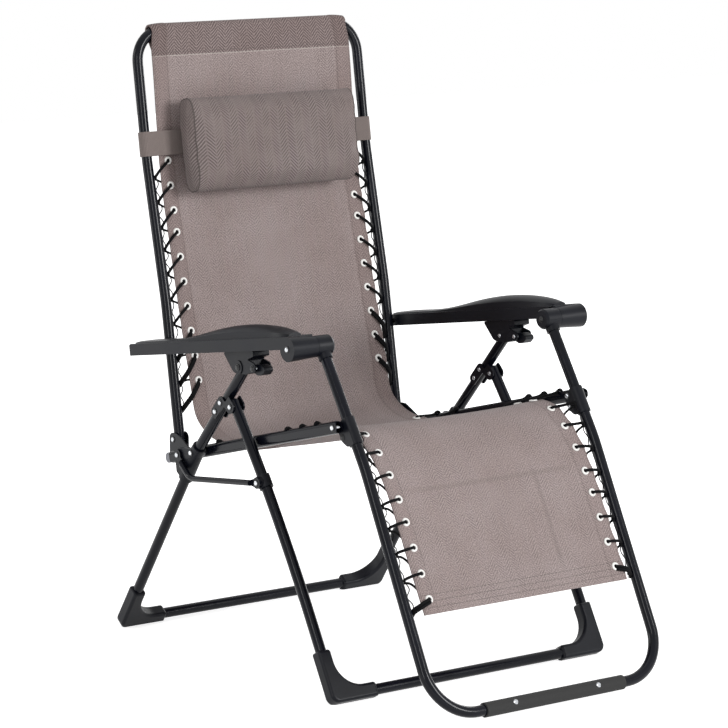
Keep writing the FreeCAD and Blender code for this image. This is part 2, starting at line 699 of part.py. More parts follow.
def rail_brackets():
    """Steel bracket on the inner side of the rail's rear end that the back frame is riveted to."""
    sheet_metal = size("sheet_metal")
    web_y, web_z = back_pivot[0], back_pivot[1] - 24
    tab = size("rail_height") / 2 - 4
    cheek = [(web_y - 11, back_pivot[1] + 12), (web_y + 12, back_pivot[1] + 12),
             (web_y + 12, web_z - sheet_metal), on_rail(size("rail_rear_reach") - 4, -tab),
             on_rail(size("rail_rear_reach") - 52, -tab), on_rail(size("rail_rear_reach") - 52, tab)]
    hole = pin_radius + size("pin_fit")
    outer = plate("rail_bracket_outer", cheek, [11, 11, 4, 6, 10, 10],
                  rail_inner - sheet_metal, rail_inner, [(*back_pivot, hole)])
    back_x = size("back_half_width")
    inner_face = back_x - tube_radius - size("running_gap")
    lobe = [(web_y - 11, back_pivot[1] + 12), (web_y + 12, back_pivot[1] + 12),
            (web_y + 12, web_z - sheet_metal), (web_y - 11, web_z - sheet_metal)]
    inner = plate("rail_bracket_inner", lobe, [11, 11, 3, 3], inner_face - sheet_metal, inner_face,
                  [(*back_pivot, hole)])
    web = block("rail_bracket_web", Vector(-rail_inner, web_y - 8, web_z - sheet_metal),
                Vector(-inner_face + sheet_metal, web_y + 9, web_z))
    keep_both(joined("rail_bracket_whole", [outer, inner, web]), "rail_brackets")
    back_pin = rivet("back_pivot_rivet", inner_face - sheet_metal, rail_inner, *back_pivot,
                     inner_head=True)
    keep_both(back_pin, "back_pivot_rivets")
    washer = shank("back_washer_body", back_x + tube_radius + 0.2, rail_inner - sheet_metal,
                   *back_pivot, radius="head_diameter / 2 + 1")
    washer_hole = bore("back_washer_bore", back_x + tube_radius, rail_inner, *back_pivot)
    keep_both(cut("back_washer", washer, [washer_hole]), "back_washers")


def rail_bumpers():
    """Grey nylon bumper in the rear end of each rail."""
    centre = on_rail(size("rail_rear_reach") + 6)
    disc = bind(doc.addObject("Part::Cylinder", "rail_bumper_disc"),
                Radius=cell("bumper_diameter / 2"))
    disc.Height = size("rail_thickness") - 4
    disc.Placement = Placement(Vector(-rail_inner - 2, *centre), Rotation(UP, RIGHTWARD))
    tail_start = Vector(-rail_inner - 2, *on_rail(size("rail_rear_reach") + 1))
    rail_space = block("rail_bumper_trim", Vector(0, -30, -20), Vector(20, 0, 20),
                       Placement(Vector(-rail_outer - 2, *on_rail(size("rail_rear_reach"))),
                                 Rotation(AXIS_X, rail_run, rail_normal, "ZXY")))
    stem = block("rail_bumper_stem", Vector(0, -12, -5), Vector(size("rail_thickness") - 4, 4, 5),
                 Placement(Vector(-rail_outer + 2, tail_start.y, tail_start.z),
                           Rotation(AXIS_X, rail_run, rail_normal, "ZXY")))
    keep_both(joined("rail_bumper_whole", [cut("rail_bumper_front", disc, [rail_space]), stem]),
              "rail_bumpers")


def footrest_pivots():
    """Rivets through the front ends of the rails and the footrest's ears."""
    half_width = size("footrest_half_width")
    inner = half_width - tube_radius - size("ear_wall")
    face = half_width + tube_radius + size("running_gap")
    keep_both(rivet("footrest_pivot_rivet", inner, rail_outer, *rail_front, inner_head=True),
              "footrest_pivot_rivets")
    keep_both(rivet("footrest_tie_rivet", inner, face, *tie_point(), inner_head=True),
              "footrest_tie_rivets")


# ---------------------------------------------------------------- back frame

back_low = (size("back_low_bend_y"), size("back_low_bend_z"))
back_high = (size("back_high_bend_y"), size("back_high_bend_z"))
back_top = (size("back_top_y"), size("back_top_z"))
armrest_bolt = along(back_pivot, back_low, size("armrest_bolt_distance"))


def back_frame():
    """Back frame: bent tube with a gentle S in the side view, pivoted at its lower ends."""
    start = along(back_pivot, back_low, -size("back_end_drop"))
    back_x = size("back_half_width")
    corners = frame_corners(back_x, [start, back_low, back_high, back_top])
    gentle, corner = size("back_bend_radius"), size("back_corner_radius")
    inner, outer = back_x - tube_radius, back_x + tube_radius
    holes = both_sides([bore("back_pivot_bore", inner, outer, *back_pivot, running=True),
                        bore("back_armrest_bore", inner, outer, *armrest_bolt)])
    frame, _ = tube_frame("back_frame", corners,
                          [0, gentle, gentle, corner, corner, gentle, gentle, 0], holes)
    keep(frame, "back_frame")
    bolt_end = size("armrest_inner_x") - size("running_gap")
    bolt = joined("armrest_bolt_right", [
        shank("armrest_bolt_shank", inner, outer + 0.2, *armrest_bolt),
        shank("armrest_bolt_spacer", outer + 0.2, bolt_end, *armrest_bolt,
              radius="head_diameter / 2"),
        head("armrest_bolt_head", inner, *armrest_bolt, outward=False)])
    keep_both(bolt, "armrest_rear_bolts")


# ---------------------------------------------------------------- footrest

foot_run = toward(armrest_pivot, footrest_bend)
foot_normal = Vector(0, -foot_run.z, foot_run.y)


def on_foot_tube(distance, behind=0.0):
    """Side point down the straight top of the footrest tube and behind its axis."""
    point = Vector(0, *armrest_pivot) + foot_run * distance + foot_normal * behind
    return point.y, point.z


def footrest_frame():
    """Footrest frame: from the armrests' knuckles down to the foot bar."""
    half_width = size("footrest_half_width")
    gentle, corner = size("footrest_bend_radius"), size("foot_bar_corner_radius")
    top = along(armrest_pivot, footrest_bend, pin_radius + 3)
    corners = frame_corners(half_width, [top, footrest_bend, foot_bar])
    frame, grip = tube_frame("footrest_frame", corners, [0, gentle, corner, corner, gentle, 0], [])
    keep(frame, "footrest_frame")
    return grip


def footrest_ears(grip):
    """Moulded sleeve on the footrest tube with a rounded ear for the front of the seat rail."""
    depth, behind = ear_place()
    half_width = size("footrest_half_width")
    outer_face = half_width + tube_radius + size("running_gap")
    wall_radius = tube_radius + size("ear_wall")
    start = Vector(-half_width, *on_foot_tube(depth - 8))
    sleeve = bar("footrest_ear_sleeve", start, foot_run, "tube_diameter / 2 + ear_wall", "ear_length")
    low = depth - 8 + size("ear_length")
    corners = [on_foot_tube(depth - 6, 0), on_foot_tube(depth - 9, behind + 9),
               on_foot_tube(depth + 22, behind + 10), on_foot_tube(low - 1, behind - 1),
               on_foot_tube(low - 1, 0)]
    flat = plate("footrest_ear_plate", corners, [2, 8, 12, 14, 2], outer_face - 4, outer_face)
    inner_flat = plate("footrest_ear_inner", corners, [2, 8, 12, 14, 2],
                       half_width - wall_radius, half_width - wall_radius + 3)
    rib = plate("footrest_ear_rib", [on_foot_tube(depth - 6, 0), on_foot_tube(depth - 8, behind + 6),
                                     on_foot_tube(depth + 12, behind + 8), on_foot_tube(depth + 30, 0)],
                [2, 6, 6, 2], half_width - wall_radius, outer_face)
    trim = block("footrest_ear_trim",
                 Vector(-outer_face - 10, rail_front[0] - 150, rail_front[1] - 150),
                 Vector(-outer_face, rail_front[0] + 150, rail_front[1] + 150))
    inner = half_width - wall_radius
    holes = [bore("footrest_ear_bore", inner, outer_face, *rail_front, running=True),
             bore("footrest_ear_tie_bore", inner, outer_face, *tie_point())]
    whole = joined("footrest_ear_whole", [sleeve, flat, inner_flat, rib])
    keep_pair(cut("footrest_ear_right", whole, [grip, trim] + holes), "footrest_ear")


def ear_place():
    """Where the rail's pivot lies along the footrest tube and behind it."""
    pivot = Vector(0, rail_front[0] - armrest_pivot[0], rail_front[1] - armrest_pivot[1])
    return pivot.dot(foot_run), pivot.dot(foot_normal)


def tie_point():
    """Rivet that closes the two flanges of an ear below the rail's pivot."""
    depth, behind = ear_place()
    return on_foot_tube(depth + 18, behind + 4)


def foot_pad():
    """Ribbed grip round the foot bar, held by two screws."""
    half = size("foot_pad_half_length")
    start = Vector(-half, *foot_bar)
    radius = tube_radius + size("foot_pad_wall")
    sleeve = bar("foot_pad_sleeve", start, AXIS_X, "tube_diameter / 2 + foot_pad_wall",
                 "foot_pad_half_length * 2")
    hollow = bar("foot_pad_hollow", start - AXIS_X, AXIS_X, "tube_diameter / 2 + tube_fit",
                 "foot_pad_half_length * 2 + 2")
    keep(cut("foot_pad_cut", sleeve, [hollow]), "foot_pad")
    facing = Vector(0, -0.82, 0.57).normalize()
    screws = []
    for number, x in enumerate((-0.6 * half, 0.6 * half)):
        screw = doc.addObject("Part::Cone", "foot_pad_screw_%d" % number)
        screw.Radius1, screw.Radius2, screw.Height = 4.5, 3.0, 1.6
        seat = Vector(x, *foot_bar) + facing * (radius + 0.02)
        screw.Placement = Placement(seat, Rotation(UP, facing))
        screws.append(screw)
    keep(group("foot_pad_screw_set", screws), "foot_pad_screws")


def knuckles(grip):
    """Moulded knuckle on top of each footrest tube, turning on the armrest's bolt."""
    inner, seam = size("knuckle_inner_x"), size("barrel_seam_x") - size("running_gap")
    barrel = shank("knuckle_barrel", inner + 4, seam, *armrest_pivot, radius="knuckle_radius")
    nose = doc.addObject("Part::Cone", "knuckle_nose")
    bind(nose, Radius1=cell("knuckle_radius - 3"), Radius2=cell("knuckle_radius"))
    nose.Height = 4
    nose.Placement = Placement(Vector(-inner, *armrest_pivot), Rotation(UP, RIGHTWARD))
    neck = bar("knuckle_neck", Vector(-size("footrest_half_width"), *on_foot_tube(0)), foot_run,
               "tube_diameter / 2 + ear_wall", "knuckle_radius + 7")
    bolt_bore = bore("knuckle_bolt_bore", inner, seam, *armrest_pivot, running=True)
    whole = joined("knuckle_whole", [barrel, nose, neck])
    keep_pair(cut("knuckle_right", whole, [grip, bolt_bore]), "armrest_knuckle")


# ---------------------------------------------------------------- armrests

arm_run = Vector(0, 1, -size("armrest_slope")).normalize()
arm_normal = Vector(0, size("armrest_slope"), 1).normalize()
arm_height = size("armrest_height")
arm_length = (size("armrest_rear_y") - armrest_pivot[0]) / arm_run.y
arm_inner, arm_outer = size("armrest_inner_x"), size("armrest_outer_x")


def on_arm(back, up=0.0):
    """Side point behind the armrest's front pivot and above its underside."""
    point = Vector(0, *armrest_pivot) + arm_run * back + arm_normal * up
    return point.y, point.z


def armrests():
    """Moulded armrest: an open-bottomed shell with a barrel at its front end."""
    wall = size("armrest_wall")
    shell = plate("armrest_shell", [on_arm(0, 0), on_arm(arm_length, 0),
                                    on_arm(arm_length, arm_height), on_arm(0, arm_height)],
                  [0, 2, 4, 0], arm_inner, arm_outer)
    hollow = plate("armrest_hollow", [on_arm(arm_height + 4, -2), on_arm(arm_length - wall, -2),
                                      on_arm(arm_length - wall, arm_height - wall),
                                      on_arm(arm_height + 4, arm_height - wall)],
                   [0, 0, 2, 2], arm_inner + wall, arm_outer - wall)
    barrel = doc.addObject("Part::Cone", "armrest_barrel")
    bind(barrel, Radius1=cell("knuckle_radius"), Radius2=cell("armrest_height"),
         Height=cell("armrest_outer_x - barrel_seam_x"))
    barrel.Placement = Placement(Vector(-size("barrel_seam_x"), *armrest_pivot),
                                 Rotation(UP, RIGHTWARD))
    whole = joined("armrest_whole", [shell, barrel])
    room = shank("armrest_knuckle_room", arm_inner - 2, size("barrel_seam_x"), *armrest_pivot,
                 radius="armrest_height + 1")
    front = block("armrest_front_trim", Vector(-size("barrel_seam_x"), -60, -60),
                  Vector(-arm_inner + 2, 0, 60), Placement(Vector(0, *armrest_pivot), Rotation()))
    holes = [bore("armrest_bolt_bore", size("barrel_seam_x"), arm_outer, *armrest_pivot)]
    keep_pair(cut("armrest_right", whole, [hollow, room, front] + holes), "armrest")
    nut_face = size("knuckle_inner_x") - 0.3
    bolt = joined("armrest_front_bolt", [
        shank("armrest_front_shank", nut_face, arm_outer, *armrest_pivot),
        head("armrest_front_head", arm_outer, *armrest_pivot),
        head("armrest_front_nut", nut_face, *armrest_pivot, outward=False)])
    keep_both(bolt, "armrest_front_bolts")


def armrest_guides():
    """Steel channel inside each armrest that its lock block bears against."""
    middle = (arm_inner + arm_outer) / 2
    half = size("guide_width") / 2
    top = arm_height - size("armrest_wall")
    outside = plate("armrest_guide_outside", [on_arm(34, 0.4), on_arm(arm_length - 90, 0.4),
                                              on_arm(arm_length - 90, top), on_arm(34, top)],
                    [0, 0, 4, 4], middle - half, middle + half)
    inside = plate("armrest_guide_inside", [on_arm(30, -2), on_arm(arm_length - 86, -2),
                                            on_arm(arm_length - 86, top - 1.5),
                                            on_arm(30, top - 1.5)],
                   [0, 0, 0, 0], middle - half + 1.5, middle + half - 1.5)
    keep_both(cut("armrest_guide_cut", outside, [inside]), "armrest_guides")


def palm_pads():
    """Palm rest lofted along each armrest: a low rear part that swells to a crest in front."""
    half_width = (arm_outer - arm_inner) / 2 - size("pad_inset")
    low, crest = size("pad_low"), size("pad_crest")
    stations = [(16, 0.55, 0.24), (44, 0.9, 0.6), (86, 1, 0.87), (135, 1, 1.0), (190, 1, 0.96),
                (250, 1, 0.73), (312, 1, 0.38)]
    rows = [(back, width * half_width, rise * crest) for back, width, rise in stations]
    rows += [(378, half_width, low), (arm_length - 32, half_width, low),
             (arm_length - size("pad_inset"), half_width * 0.86, low * 0.8)]
    sections = []
    for number, (back, half, rise) in enumerate(rows):
        frame = Placement(Vector(-(arm_inner + arm_outer) / 2, *on_arm(back, arm_height)),
                          Rotation(AXIS_X, arm_normal, arm_run.negative(), "ZXY"))
        edge = rise * 0.55
        left, right = Vector(-half, 0, 0), Vector(half, 0, 0)
        left_top, right_top = Vector(-half * 0.9, edge, 0), Vector(half * 0.9, edge, 0)
        wire = Part.Wire([Part.makeLine(left, left_top),
                          Part.Arc(left_top, Vector(0, rise, 0), right_top).toShape(),
                          Part.makeLine(right_top, right), Part.makeLine(right, left)])
        section = doc.addObject("Part::Feature", "palm_pad_section_%d" % number)
        section.Shape = wire
        section.Placement = frame
        sections.append(section)
    loft = doc.addObject("Part::Loft", "palm_pad_right_loft")
    loft.Sections = sections
    loft.Solid = True
    keep_pair(loft, "palm_pad")


# ---------------------------------------------------------------- locks

def lock_blocks():
    """Lock block on top of each rear leg: cheeks round the tube, closed above, front and rear."""
    pivot = Vector(0, lock_pivot[0] - armrest_pivot[0], lock_pivot[1] - armrest_pivot[1])
    back, up = pivot.dot(arm_run), pivot.dot(arm_normal)
    front, rear = back - size("block_front_reach"), back + size("block_rear_reach")
    inner, outer = size("block_inner_x"), size("block_outer_x")
    top = -size("running_gap") - 0.3
    corners = [(front, top), (rear, top), (back + 17, up - 9), (back - 22, up - 13),
               (back - 30, up - 11), (back - 30, up + 13), (front, up + 17)]
    body = plate("lock_block_body", [on_arm(*corner) for corner in corners],
                 [3, 3, 16, 8, 3, 4, 3], inner, outer)
    ear_corners = [(back - 28, up - 11), (back - 51, up - 10), (back - 51, up + 4),
                   (back - 28, up + 12)]
    ears = [plate("lock_block_ear_%s" % name, [on_arm(*corner) for corner in ear_corners],
                  [0, 7, 7, 0], low, high)
            for name, low, high in (("inner", inner, inner + 2.6), ("outer", outer - 2.6, outer))]
    boss = shank("lock_block_boss", outer - 1, outer + 1.6, *lock_pivot, radius="head_diameter")
    whole = joined("lock_block_whole", [body, boss] + ears)
    down = toward(lock_pivot, rail_pivot)
    side = Vector(0, -down.z, down.y)
    start = Vector(0, *lock_pivot)
    fan = []
    for swing, offset in ((-8, -11), (-8, 0), (14, 0), (14, 11)):
        direction = Rotation(AXIS_X, swing).multVec(down)
        point = start + direction * (70 if offset == 0 else 0)
        fan.append(point + side * (offset if offset else math.copysign(12, swing)))
    mouth = plate("lock_block_mouth", [(point.y, point.z) for point in fan], [0, 0, 0, 0],
                  leg_inner - 0.4, leg_outer + 0.4)
    room = shank("lock_block_room", leg_inner - 0.4, leg_outer + 0.4, *lock_pivot,
                 radius="tube_diameter / 2 + 7.2")
    holes = [bore("lock_block_bore", inner, outer + 2, *lock_pivot, running=True),
             bore("lock_block_lever_bore", inner, outer, *lever_pivot())]
    keep_pair(cut("lock_block_right", whole, [mouth, room] + holes), "lock_block")
    keep_both(rivet("lock_pivot_rivet", inner, outer + 1.9, *lock_pivot), "lock_pivot_rivets")
    keep_both(rivet("lock_lever_pin", inner, outer, *lever_pivot()), "lock_lever_pins")


def lever_pivot():
    """Pin of the lock lever at the front of the block."""
    pivot = Vector(0, lock_pivot[0] - armrest_pivot[0], lock_pivot[1] - armrest_pivot[1])
    return on_arm(pivot.dot(arm_run) - size("lever_pin_reach"),
                  pivot.dot(arm_normal) - size("lever_pin_drop"))


def lock_levers():
    """Curved lever between the block's ears; its tip is pulled down to free the lock."""
    pin = Vector(0, *lever_pivot())

    def local(forward, up):
        point = pin - arm_run * forward + arm_normal * up
        return point.y, point.z

    length = size("lever_length")
    corners = [local(-7, -8), local(3, -13), local(length * 0.6, -13), local(length, -6),
               local(length - 1, 0), local(length * 0.4, 5.5), local(-7, 5.5)]
    radii = [5, 8, 8, 3, 3, 8, 6]
    middle = (size("block_inner_x") + size("block_outer_x")) / 2
    half = size("lever_width") / 2
    lever = plate("lock_lever_right_plate", corners, radii, middle - half, middle + half,
                  [(pin.y, pin.z, pin_radius + 2 * size("pin_fit"))])
    keep_pair(lever, "lock_lever")


# ---------------------------------------------------------------- sling

# points of the sling's side line, each placed from the part of the frame that it hangs near
SLING_LINE = [(anchor[0] + forward, anchor[1] + rise) for anchor, forward, rise in (
    (back_top, -11.2, 1.0), (back_top, -20.5, -68.0), (back_high, -10.0, -47.0),
    (back_high, -30.0, -133.0), (back_low, 6.5, 30.0), (back_low, -15.5, -57.0),
    (back_pivot, 5.0, 114.0), (back_pivot, -5.0, 74.0), (back_pivot, -15.0, 44.0),
    (back_pivot, -41.0, 21.5), (rail_pivot, 42.0, 9.5), (rail_pivot, -8.0, 5.0),
    (rail_pivot, -58.0, 7.0), (rail_pivot, -108.0, 16.0), (rail_pivot, -198.0, 42.0),
    (rail_front, 126.0, -36.0), (rail_front, 76.0, -20.0), (rail_front, 46.0, -13.5),
    (rail_front, 21.0, -15.0), (rail_front, -1.0, -24.0), (footrest_bend, 28.0, 21.0),
    (footrest_bend, -3.0, -11.0), (foot_bar, 145.0, 295.0), (foot_bar, 103.0, 216.0),
    (foot_bar, 82.0, 178.0), (foot_bar, 70.0, 156.0))]


def sling_curve():
    """Smooth side line of the whole sling, from the top tube to the bottom hem."""
    curve = Part.BSplineCurve()
    curve.interpolate([Vector(0, y, z) for y, z in SLING_LINE])
    return curve


def strip(name, curve, first, last, half_width, samples):
    """Closed solid of cloth along part of the sling's side line."""
    half = size("sling_thickness") / 2
    front, rear = [], []
    for step in range(samples + 1):
        parameter = first + (last - first) * step / samples
        point, direction = curve.value(parameter), curve.tangent(parameter)[0]
        normal = Vector(0, direction.z, -direction.y)
        front.append(point + normal * half)
        rear.append(point - normal * half)
    edges = []
    for points in (front, rear):
        side = Part.BSplineCurve()
        side.interpolate(points)
        edges.append(side.toShape())
    edges.append(Part.makeLine(front[0], rear[0]))
    edges.append(Part.makeLine(front[-1], rear[-1]))
    section = doc.addObject("Part::Feature", name + "_section")
    section.Shape = Part.Wire(Part.__sortEdges__(edges))
    section.Placement.Base = Vector(-size(half_width), 0, 0)
    cloth = doc.addObject("Part::Extrusion", name + "_cloth")
    cloth.Base = section
    cloth.DirMode = "Custom"
    cloth.Dir = AXIS_X
    cloth.setExpression("LengthFwd", cell(half_width + " * 2"))
    cloth.Solid = True
    return cloth


def parameter_at(curve, place):
    """Curve parameter of the sling point nearest to a side point."""
    return curve.parameter(Vector(0, *place))


def slings():
    """The sling as three stretches: on the back, on the seat rails and on the footrest."""
    curve = sling_curve()
    top, neck, waist, hip, lap, knee, hem = [parameter_at(curve, place) for place in (
        SLING_LINE[0],
        (back_top[0] - 15.5, back_top[1] - 28),
        (back_pivot[0] - 1.5, back_pivot[1] + 89),
        (back_pivot[0] - 14, back_pivot[1] + 46),
        (rail_front[0] + 31, rail_front[1] - 13.5),
        (rail_front[0] + 20, rail_front[1] - 15),
        SLING_LINE[-1])]
    collar = strip("back_sling_neck", curve, top, neck + 4, "sleeve_half_width", 4)
    panel = strip("back_sling_panel", curve, neck, waist, "sling_half_width", 14)
    sleeve = []
    for label, radius in (("outer", "tube_diameter / 2 + 0.4 + sling_thickness"),
                          ("inner", "tube_diameter / 2 + 0.4")):
        corners = frame_corners(size("back_half_width"), [back_high, back_top])
        axis = path("back_sling_sleeve_axis_" + label, corners,
                    [0, size("back_corner_radius"), size("back_corner_radius"), 0])
        sleeve.append(swept("back_sling_sleeve_" + label, axis, corners[0], corners[1], radius))
    wide = size("sleeve_half_width")
    room = block("back_sling_sleeve_room", Vector(-wide, back_top[0] - 60, back_top[1] - 60),
                 Vector(wide, back_top[0] + 60, back_top[1] + 60))
    wrap = doc.addObject("Part::Common", "back_sling_sleeve_wrap")
    wrap.Base, wrap.Tool = sleeve[0], room
    whole = joined("back_sling_whole", [collar, panel, wrap])
    keep(cut("back_sling_cut", whole, [sleeve[1]]), "back_sling")
    keep(strip("seat_sling", curve, hip, lap, "sling_half_width", 16), "seat_sling")
    keep(strip("leg_sling", curve, knee, hem, "sling_half_width", 10), "leg_sling")
    first = parameter_at(curve, (back_high[0], back_high[1] - 3))
    eyelets_and_laces("back", curve, first, 10, "lace_lead", size("back_half_width"),
                      [back_pivot, back_low, back_high, back_top])
    last = curve.length(curve.FirstParameter, hem) - size("leg_eyelet_margin")
    first = curve.parameterAtDistance(last - 7 * size("eyelet_pitch"))
    eyelets_and_laces("leg", curve, first, 8, "leg_lace_lead", size("footrest_half_width"),
                      [armrest_pivot, footrest_bend, foot_bar], bare=1)
    seat_laces(curve)


def eyelets_and_laces(name, curve, first, count, lead, tube_x, tube_line, bare=0):
    """Eyelets in both edges of the cloth and the elastic strands that tie them to the tubes."""
    length = curve.length(curve.FirstParameter, first)
    rings, strands = [], []
    over_tube = tube_radius + size("lace_diameter") / 2 + 6 * size("lace_gap")
    for number in range(count):
        at = curve.parameterAtDistance(length + number * size("eyelet_pitch"))
        point, direction = curve.value(at), curve.tangent(at)[0]
        front = Vector(0, direction.z, -direction.y)
        seat = Vector(-size("eyelet_half_width"), point.y, point.z)
        seat += front * (size("sling_thickness") / 2 + 0.2)
        rings.append(eyelet("%s_eyelet_%d" % (name, number), seat, front))
        if number < bare:
            continue
        on_tube = tube_seat(tube_line, tube_x, seat + direction * size(lead))
        depth = (seat - on_tube).dot(front)
        strands.append(strand("%s_lace_%d" % (name, number), seat, front,
                              on_tube + front * max(over_tube, depth + 1)))
    keep_both(group(name + "_eyelet_row", rings), name + "_eyelets")
    keep_both(group(name + "_lace_row", strands), name + "_laces")


def eyelet(label, seat, front):
    """Plain washer seated on the cloth."""
    ring = bind(doc.addObject("Part::Prism", label + "_ring"), Circumradius=cell("eyelet_diameter / 2"))
    hole = bind(doc.addObject("Part::Prism", label + "_hole"), Circumradius=cell("eyelet_bore / 2"))
    ring.Polygon = hole.Polygon = 10
    bind(ring, Height=cell("eyelet_height"))
    hole.Height = size("eyelet_height") + 2
    ring.Placement = Placement(seat, Rotation(UP, front))
    hole.Placement = Placement(seat - front, Rotation(UP, front))
    return cut(label, ring, [hole])


def tube_seat(line, tube_x, near):
    """Point on the axis of a side tube that is nearest to a point of the cloth's edge."""
    wire = Part.makePolygon([Vector(-tube_x, y, z) for y, z in line])
    return wire.distToShape(Part.Vertex(near))[1][0][0]


def strand(label, seat, front, target):
    """Elastic lace from above an eyelet to a point on what it is tied to."""
    lift = size("eyelet_height") + 3 * size("lace_gap") + size("lace_diameter") / 2
    start = seat + front * lift + Vector(size("eyelet_bore") / 2, 0, 0)
    lace = bind(doc.addObject("Part::Prism", label), Circumradius=cell("lace_diameter / 2"))
    lace.Polygon = 6
    lace.Height = (target - start).Length
    lace.Placement = Placement(start, Rotation(UP, target - start))
    return lace


def seat_laces(curve):
    """Elastic straps from both edges of the seat cloth over the seat rails."""
    rings, strands = [], []
    front_end, rear_end = rail_front[0], rail_pivot[0]
    for number, y in enumerate((front_end + 54, front_end + 97, front_end + 140,
                                rear_end - 42, rear_end + 2)):
        at = parameter_at(curve, (y, rail_height_at(y)))
        point, direction = curve.value(at), curve.tangent(at)[0]
        front = Vector(0, direction.z, -direction.y)
        seat = Vector(-size("eyelet_half_width"), point.y, point.z)
        seat += front * (size("sling_thickness") / 2 + 0.2)
        rings.append(eyelet("seat_eyelet_%d" % number, seat, front))
        above = size("rail_height") / 2 + size("lace_diameter") / 2 + size("lace_gap")
        over_rail = Vector(-rail_inner - 3.5, point.y, rail_height_at(point.y) + above)
        strands.append(strand("seat_lace_%d" % number, seat, front, over_rail))
    keep_both(group("seat_eyelet_row", rings), "seat_eyelets")
    keep_both(group("seat_lace_row", strands), "seat_laces")


def rail_height_at(y):
    """Height of the rail's axis at a depth y."""
    return rail_pivot[1] + (y - rail_pivot[0]) * rail_run.z / rail_run.y


# ---------------------------------------------------------------- pillow

back_up = toward(back_high, back_top)
back_front = Vector(0, -back_up.z, back_up.y)


def pillow():
    """Head pillow on elastic straps that slide on the back tubes."""
    height, thickness = size("pillow_height"), size("pillow_thickness")
    centre = Vector(0, *back_top) - back_up * size("pillow_drop")
    clear = size("pillow_stand_off")
    body = doc.addObject("PartDesign::Body", "pillow_body")
    corners = [Vector(-height / 2, clear, 0), Vector(height / 2, clear, 0),
               Vector(height / 2, clear + thickness, 0), Vector(-height / 2, clear + thickness, 0)]
    sketch = outline(body, "pillow", corners, [18, 18, 30, 30])
    pad = body.newObject("PartDesign::Pad", "pillow_pad")
    pad.Profile = sketch
    bind(pad, Length=cell("pillow_half_width * 2"))
    body.Placement = Placement(Vector(-size("pillow_half_width"), centre.y, centre.z),
                               Rotation(back_up, back_front, AXIS_X, "ZXY"))
    keep(body, "pillow")
    tube_x = size("back_half_width")
    half = size("strap_width") / 2
    base = Vector(-tube_x, centre.y, centre.z) - back_up * half
    loop_outer = bar("pillow_strap_outer", base, back_up,
                     "tube_diameter / 2 + running_gap + strap_thickness", "strap_width")
    loop_inner = bar("pillow_strap_inner", base - back_up, back_up,
                     "tube_diameter / 2 + running_gap", "strap_width + 2")
    thin = size("strap_thickness")
    near, inner = tube_radius + size("running_gap"), tube_x - size("pillow_half_width")
    edge = tube_x - size("sling_half_width") - 2
    flat = clear + 0.4
    body = doc.addObject("PartDesign::Body", "pillow_strap_band")
    corners = [Vector(0, near, 0), Vector(edge, flat, 0), Vector(inner, flat, 0),
               Vector(inner, flat + 14, 0), Vector(inner - thin, flat + 14, 0),
               Vector(inner - thin, flat + thin, 0), Vector(edge, flat + thin, 0),
               Vector(0, near + thin, 0)]
    sketch = outline(body, "pillow_strap_band", corners, [0, 3, 0, 0, 0, 0, 3, 0])
    band = body.newObject("PartDesign::Pad", "pillow_strap_band_pad")
    band.Profile = sketch
    bind(band, Length=cell("strap_width"))
    body.Placement = Placement(Vector(-tube_x, centre.y, centre.z) + back_up * half,
                               Rotation(AXIS_X, back_front, back_up.negative(), "XYZ"))
    whole = joined("pillow_strap_whole", [loop_outer, body])
    keep_both(cut("pillow_strap_cut", whole, [loop_inner]), "pillow_straps")


def rail_washers():
    """Nylon washers between the seat rails and the rear legs."""
    washer = shank("rail_washer_body", rail_outer + 0.3, leg_inner - 0.6, *rail_pivot,
                   radius="head_diameter / 2 + 3")
    hole = bore("rail_washer_bore", rail_outer, leg_inner, *rail_pivot)
    keep_both(cut("rail_washer", washer, [hole]), "rail_washers")


# ---------------------------------------------------------------- build

rear_grip = rear_legs()
front_grip = front_legs()
leg_brackets()
pivot_sleeves(rear_grip)
collars(front_grip)
braces()
seat_rails()
rail_washers()
rail_brackets()
rail_bumpers()
footrest_pivots()
back_frame()
foot_grip = footrest_frame()
footrest_ears(foot_grip)
foot_pad()
knuckles(foot_grip)
armrests()
armrest_guides()
palm_pads()
lock_blocks()
lock_levers()
slings()
pillow()
doc.recompute()

for item in doc.Objects:
    if "Invalid" in item.State or "Error" in item.State:
        raise RuntimeError("%s did not build: %s" % (item.Name, item.State))
for item in kept:
    shape = item.Shape
    if shape.isNull() or not shape.isValid() or not shape.Solids:
        raise RuntimeError("%s is not a valid solid" % item.Label)

os.makedirs("parts", exist_ok=True)
whole = Part.makeCompound([item.Shape for item in kept])
box = whole.BoundBox
for item in kept:
    item.Shape.exportStep(os.path.join("parts", item.Label + ".step"))
    print("%-24s solids %2d  volume %10.0f" % (item.Label, len(item.Shape.Solids), item.Shape.Volume))
print("nodes", len(kept), "box", box)
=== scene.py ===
"""Zero gravity recliner, dressed: finishes for its frame, and the sling, lacing, rivets and head pillow.

Metres. +Z up, the sitter faces -Y, and the sitter's right hand is on -X.
"""

import json
import logging
import math
from collections.abc import Callable
from dataclasses import dataclass, field
from enum import Enum

import bpy
import numpy as np
from mathutils import Matrix, Vector
from mathutils.bvhtree import BVHTree

